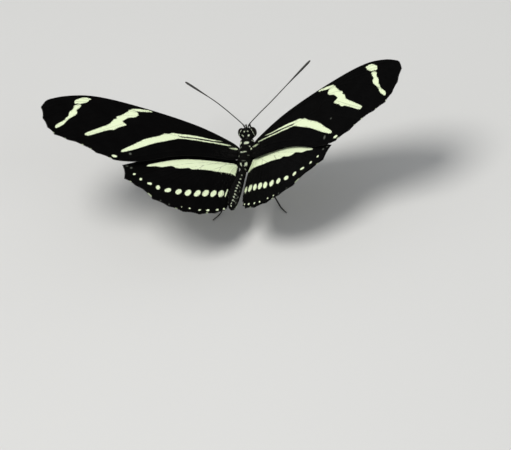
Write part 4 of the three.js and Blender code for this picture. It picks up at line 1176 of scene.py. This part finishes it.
def eye_rim(side):
    """White scales along the hind and upper edge of the eye, dark ones in front and below."""
    c = eye_centre(side)
    path = centripetal(EYE_RIM[side], 200)
    seen = ((0.22, 0.34), (0.44, 0.7), (0.76, 0.86)) if side == RIGHT else ((0.2, 0.36), (0.5, 0.82))
    i = np.concatenate([rng.integers(int(200 * a), int(200 * b), int(round(900 * (b - a)))) for a, b in seen])
    whites = len(i)
    white_root = path[i] + rng.normal(0, 0.012, (whites, 3))
    turn = rng.uniform(0, 2 * np.pi, 420)
    up, back = np.sin(turn), -np.cos(turn)
    keep = (back < 0.15) & (up < 0.75)
    up, back = up[keep], back[keep]
    d = unit(np.stack([side * (0.2 * np.clip(back, 0, 1) - 0.55), -back * 0.8, up * 0.92], -1))
    dark_root = c + d * EYE_R
    root = np.vstack([white_root, dark_root])
    k = len(root)
    d = unit((root - c) / EYE_R)
    root = c + d * EYE_R * 0.985
    n = unit(d / EYE_R)
    run = np.vstack([unit(path[np.minimum(i + 1, 200)] - path[i]), np.tile([0.0, -0.3, -0.4], (len(dark_root), 1))])
    white = np.arange(k) < whites
    y = np.clip(root[:, 1], Y_BACK, Y_FRONT)
    x0, z0 = body_axis(y)[:2]
    a = np.arctan2(root[:, 2] - z0, root[:, 0] - x0)
    return dict(root=root, normal=n, lie=run + rng.normal(0, 0.15, (k, 3)), length=rng.uniform(0.10, 0.17, k), width=np.where(white, 0.042, 0.045) * rng.uniform(0.8, 1.1, k),
                lift=rng.uniform(0.03, 0.2, k), uv_root=body_uv(y, a), pale=np.where(white, 1.0, 0.0), tone=rng.uniform(0, 1, k))


def palp_tufts(side, count):
    path = palp_path(side)
    tangent, normal, binormal = tube_frames(path)
    i = rng.integers(6, len(path), count)
    a = rng.uniform(0, 2 * np.pi, count)
    n = normal[i] * np.cos(a)[:, None] + binormal[i] * np.sin(a)[:, None]
    u = i / (len(path) - 1)
    p = path[i] + n * (0.17 - 0.05 * u)[:, None]
    inner = n[:, 0] * side < -0.35
    pale = (inner & (u < 0.75)) | (rng.uniform(size=count) < 0.06)
    y = np.clip(p[:, 1], Y_BACK, Y_FRONT)
    return dict(root=p, normal=n, lie=tangent[i] + n * 0.2, length=rng.uniform(0.18, 0.34, count) * (1 - 0.3 * u), width=rng.uniform(0.03, 0.055, count),
                lift=rng.uniform(0.15, 0.45, count), uv_root=np.stack([(0.01 if side == LEFT else 0.51) + 0.48 * u, 0.956 + 0.038 * a / (2 * np.pi)], -1), pale=np.where(pale, 0.9, 0.0), tone=rng.uniform(0, 1, count))


head_coat += [eye_rim(LEFT), eye_rim(RIGHT), palp_tufts(LEFT, 800), palp_tufts(RIGHT, 800)]
coat_object("abdomen_scales", abdomen_coat, mat_coat)
coat_object("thorax_scales", thorax_coat, mat_coat)
coat_object("head_scales", head_coat, mat_coat)

# ------------------------------------------------------ feelers and tongue
ANTENNAE = {
    RIGHT: [[0.12, 6.5, -0.3], [0.2, 6.82, -0.02], [0.34, 7.12, 0.22], [2.2, 8.45, 1.35], [5.25, 10.95, 2.65], [9.4, 14.8, 4.4], [13.46, 18.56, 6.08]],
    LEFT: [[-0.52, 6.5, -0.3], [-0.62, 6.82, -0.04], [-0.78, 7.12, 0.2], [-3.0, 9.15, 1.35], [-6.9, 12.9, 2.3], [-10.4, 15.65, 3.2], [-13.96, 18.31, 4.13]],
}
parts = Parts()
for side in (LEFT, RIGHT):
    path = centripetal(ANTENNAE[side], 640)
    length = np.linalg.norm(np.diff(path, axis=0), axis=1).sum()
    u = np.linspace(0, 1, len(path))
    mm = u * length
    radius = 0.11 + 0.13 * step(0.62, 0.90, u) - 0.08 * step(0.965, 1.0, u)
    radius += 0.075 * np.exp(-((mm - 0.75) / 0.2) ** 2) + 0.035 * np.exp(-((mm - 1.15) / 0.12) ** 2)
    pitch_mm = np.where(u < 0.72, 0.42, 0.30)
    phase = np.cumsum(np.gradient(mm) / pitch_mm)
    joint = (phase % 1.0)
    radius *= 1 - 0.10 * np.exp(-(np.minimum(joint, 1 - joint) / 0.12) ** 2)
    v, c, n, uv, share, angle = tube(path, radius, 14, (0.0, 0.02 if side == LEFT else 0.52, 1.0, 0.46))
    ring = np.interp(share * (len(path) - 1), np.arange(len(path)), np.where((joint > 0.05) & (joint < 0.3) & (mm > 1.4), 1.0, 0.0))
    parts.add(v, c, n, uv, 0, ring=ring, pale=np.zeros(len(v)))
ob = parts.make("feelers", (mat_feeler,))
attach(ob, "root")
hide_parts("antenna_left", "antenna_right")

COIL_C, TURNS = np.array([-0.2, 6.5, -3.95]), 2.7
u = np.linspace(0, 1, 150)
turn = np.radians(90) - u * TURNS * 2 * np.pi
r = 1.04 - 0.84 * u ** 0.9
coil = np.stack([np.full(150, COIL_C[0]), COIL_C[1] + np.cos(turn) * r, COIL_C[2] + np.sin(turn) * r], -1)
coil = np.vstack([centripetal([[-0.2, 6.3, -1.9], [-0.2, 6.25, -2.35], [-0.2, 6.28, -2.75], coil[0]], 24)[:-1], coil])
coil = evenly(coil, 360)
u = np.linspace(0, 1, len(coil))
radius = (0.135 - 0.065 * u) * (1 - 0.08 * (np.sin(u * 420) > 0.6))
parts = Parts()
v, c, n, uv, share, angle = tube(coil, radius, 16, (0, 0.02, 1, 0.96))
parts.add(v, c, n, uv, 0, ring=(np.sin(share * 420) > 0.4).astype(float), pale=np.zeros(len(v)))
ob = parts.make("tongue", (mat_tongue,))
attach(ob, "root")
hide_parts("proboscis")

# --------------------------------------------------------------------- legs
TARSUS_Z = FLOOR + 0.125
LEGS = {
    "midleg": [[0.5, 0.75, -3.7], [0.7, 0.75, -4.5], [0.95, 0.75, -5.0], [2.6, 1.2, -5.2], [4.55, 1.75, -4.8], [5.0, 2.0, -5.2], [6.9, 3.0, -9.3],
               [7.35, 3.3, -10.15], [8.1, 3.95, TARSUS_Z], [9.42, 5.04, TARSUS_Z]],
    "hindleg": [[0.5, -1.5, -3.6], [0.65, -1.5, -4.4], [0.9, -1.5, -4.95], [2.4, -3.1, -5.3], [3.9, -4.75, -4.9], [4.25, -5.15, -5.3], [6.0, -7.0, -9.3],
                [6.35, -7.4, -10.15], [6.9, -8.05, TARSUS_Z], [7.84, -9.22, TARSUS_Z]],
    "foreleg": [[0.4, 2.2, -3.6], [0.46, 2.45, -4.2], [0.5, 2.6, -4.6], [0.62, 3.5, -4.15], [0.6, 4.06, -3.78]],
}
parts, bristles, row = Parts(), [], 0


def leg_bristles(path, radius, lo, hi, count, length, width, lift, v_row, pale_under):
    tangent, normal, binormal = tube_frames(path)
    i = rng.integers(int(lo * (len(path) - 1)), int(hi * (len(path) - 1)), count)
    a = rng.uniform(0, 2 * np.pi, count)
    n = normal[i] * np.cos(a)[:, None] + binormal[i] * np.sin(a)[:, None]
    keep = ~((n[:, 2] < -0.3) & (path[i, 2] < FLOOR + 0.4))
    i, a, n = i[keep], a[keep], n[keep]
    k = len(i)
    pale = pale_under & (n[:, 2] < -0.3) & (rng.uniform(size=k) < 0.8)
    return dict(root=path[i] + n * radius[i, None] * 0.96, normal=n, lie=tangent[i], length=rng.uniform(*length, k), width=rng.uniform(*width, k),
                lift=rng.uniform(*lift, k), uv_root=np.stack([0.01 + 0.98 * i / (len(path) - 1), v_row + 0.14 * (a / (2 * np.pi))], -1),
                pale=np.where(pale, 0.9, 0.0), tone=rng.uniform(0, 1, k))


for side in (LEFT, RIGHT):
    for leg, points in LEGS.items():
        path = centripetal([[side * x, y, z] for x, y, z in points], 260)
        u = np.linspace(0, 1, len(path))
        if leg == "foreleg":
            radius = 0.20 - 0.07 * u - 0.03 * np.exp(-((u - 0.3) / 0.03) ** 2) - 0.03 * np.exp(-((u - 0.68) / 0.03) ** 2)
        else:
            at = np.linalg.norm(path - np.array([side * points[4][0], points[4][1], points[4][2]]), axis=1).argmin() / (len(path) - 1)
            foot = np.linalg.norm(path - np.array([side * points[8][0], points[8][1], points[8][2]]), axis=1).argmin() / (len(path) - 1)
            foot -= 0.05
            radius = np.interp(u, [0, 0.06, 0.10, 0.125, 0.17, at - 0.06, at, at + 0.03, at + 0.08, foot - 0.02, foot, foot + 0.02, 1.0],
                               [0.34, 0.33, 0.28, 0.18, 0.23, 0.19, 0.175, 0.145, 0.15, 0.155, 0.115, 0.13, 0.095])
            for k in range(1, 5):
                cutline = foot + (1 - foot) * (0.38 + 0.62 * k / 5)
                radius = radius - 0.028 * np.exp(-((u - cutline) / 0.006) ** 2)
        v, c, n, uv, share, angle = tube(path, radius, 18, (0.0, 0.01 + row * 0.165, 1.0, 0.15))
        v[:, 2] = np.maximum(v[:, 2], FLOOR)
        tangent, normal, binormal = tube_frames(path)
        nz = np.concatenate([(normal[:, None, 2] * np.cos(np.arange(18) / 18 * 2 * np.pi)[None] + binormal[:, None, 2] * np.sin(np.arange(18) / 18 * 2 * np.pi)[None]).ravel(), [0, 0]])
        pale = np.where((nz < -0.45) & (share < 0.5) & (share > 0.13), 0.8, 0.0)
        parts.add(v, c, n, uv, 0, pale=pale, ring=np.zeros(len(v)))
        v_row = 0.015 + row * 0.165
        if leg == "foreleg":
            bristles.append(leg_bristles(path, radius, 0.2, 1.0, 260, (0.12, 0.24), (0.03, 0.05), (0.1, 0.4), v_row, True))
        else:
            bristles.append(leg_bristles(path, radius, 0.05, at, 420, (0.14, 0.26), (0.04, 0.065), (0.06, 0.25), v_row, True))
            bristles.append(leg_bristles(path, radius, at, foot, 300, (0.10, 0.18), (0.03, 0.045), (0.1, 0.4), v_row, False))
            bristles.append(leg_bristles(path, radius, foot, 0.98, 150, (0.06, 0.11), (0.018, 0.028), (0.3, 0.7), v_row, False))
            # two curved claws
            for k, s in enumerate((-1, 1)):
                t = path[-1] - path[-6]
                t /= np.linalg.norm(t)
                b = np.cross(t, [0, 0, 1.0])
                claw = centripetal([path[-2] + b * s * 0.03, path[-1] + t * 0.05 + b * s * 0.07 + [0, 0, 0.02], path[-1] + t * 0.12 + b * s * 0.10 - [0, 0, 0.03],
                                    path[-1] + t * 0.145 + b * s * 0.105 - [0, 0, 0.095]], 12)
                rad = np.linspace(0.032, 0.008, len(claw))
                v, c, n, uv, share, angle = tube(claw, rad, 8, (0.4 * k + 0.1, 0.005 + 0.165 * row, 0.3, 0.004))
                v[:, 2] = np.maximum(v[:, 2], FLOOR + 0.002)
                parts.add(v, c, n, uv, 0, pale=np.zeros(len(v)), ring=np.zeros(len(v)))
        row += 1
ob = parts.make("legs", (mat_leg,))
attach(ob, "root")
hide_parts(*[f"{leg}_{word}" for leg in LEGS for word in ("left", "right")])
coat_object("leg_bristles", bristles, mat_coat)

# ------------------------------------------------------------------- stage
m, nt, sh = nodes_of("studio_floor")
at = put(nt, "ShaderNodeTexCoord").outputs["Object"]
nt.links.new(mix(nt, noise(nt, 3.0, 4.0, at), (0.62, 0.615, 0.60), (0.66, 0.655, 0.64)), sh.inputs["Base Color"])
sh.inputs["Roughness"].default_value = 0.8
sh.inputs["Specular IOR Level"].default_value = 0.1
floor_mesh = bpy.data.meshes.new("studio_floor")
floor_mesh.from_pydata([(-4, -4, 0), (4, -4, 0), (4, 4, 0), (-4, 4, 0)], [], [(0, 1, 2, 3)])
floor_mesh.materials.append(m)
floor = bpy.data.objects.new("studio_floor", floor_mesh)
bpy.context.scene.collection.objects.link(floor)

world = bpy.data.worlds.new("studio")
world.use_nodes = True
world.node_tree.nodes["Background"].inputs[0].default_value = (0.93, 0.96, 1.0, 1)
world.node_tree.nodes["Background"].inputs[1].default_value = 0.42
bpy.context.scene.world = world


def lamp(name, place, size, power, colour=(1, 1, 1)):
    light = bpy.data.lights.new(name, "AREA")
    light.shape, light.size, light.energy, light.color = "DISK", size, power, colour
    ob = bpy.data.objects.new(name, light)
    bpy.context.scene.collection.objects.link(ob)
    ob.location = place
    ob.rotation_mode = "QUATERNION"
    ob.rotation_quaternion = (Vector(place) - Vector((0, 0, 0.01))).to_track_quat("Z", "Y")


lamp("key", (-0.12, -0.12, 0.60), 0.30, 2.75, (1.0, 0.99, 0.965))
lamp("fill", (0.5, -0.4, 0.35), 0.5, 0.9, (0.95, 0.98, 1.0))
bpy.context.scene.view_settings.view_transform = "Standard"
bpy.context.scene.view_settings.look = "None"
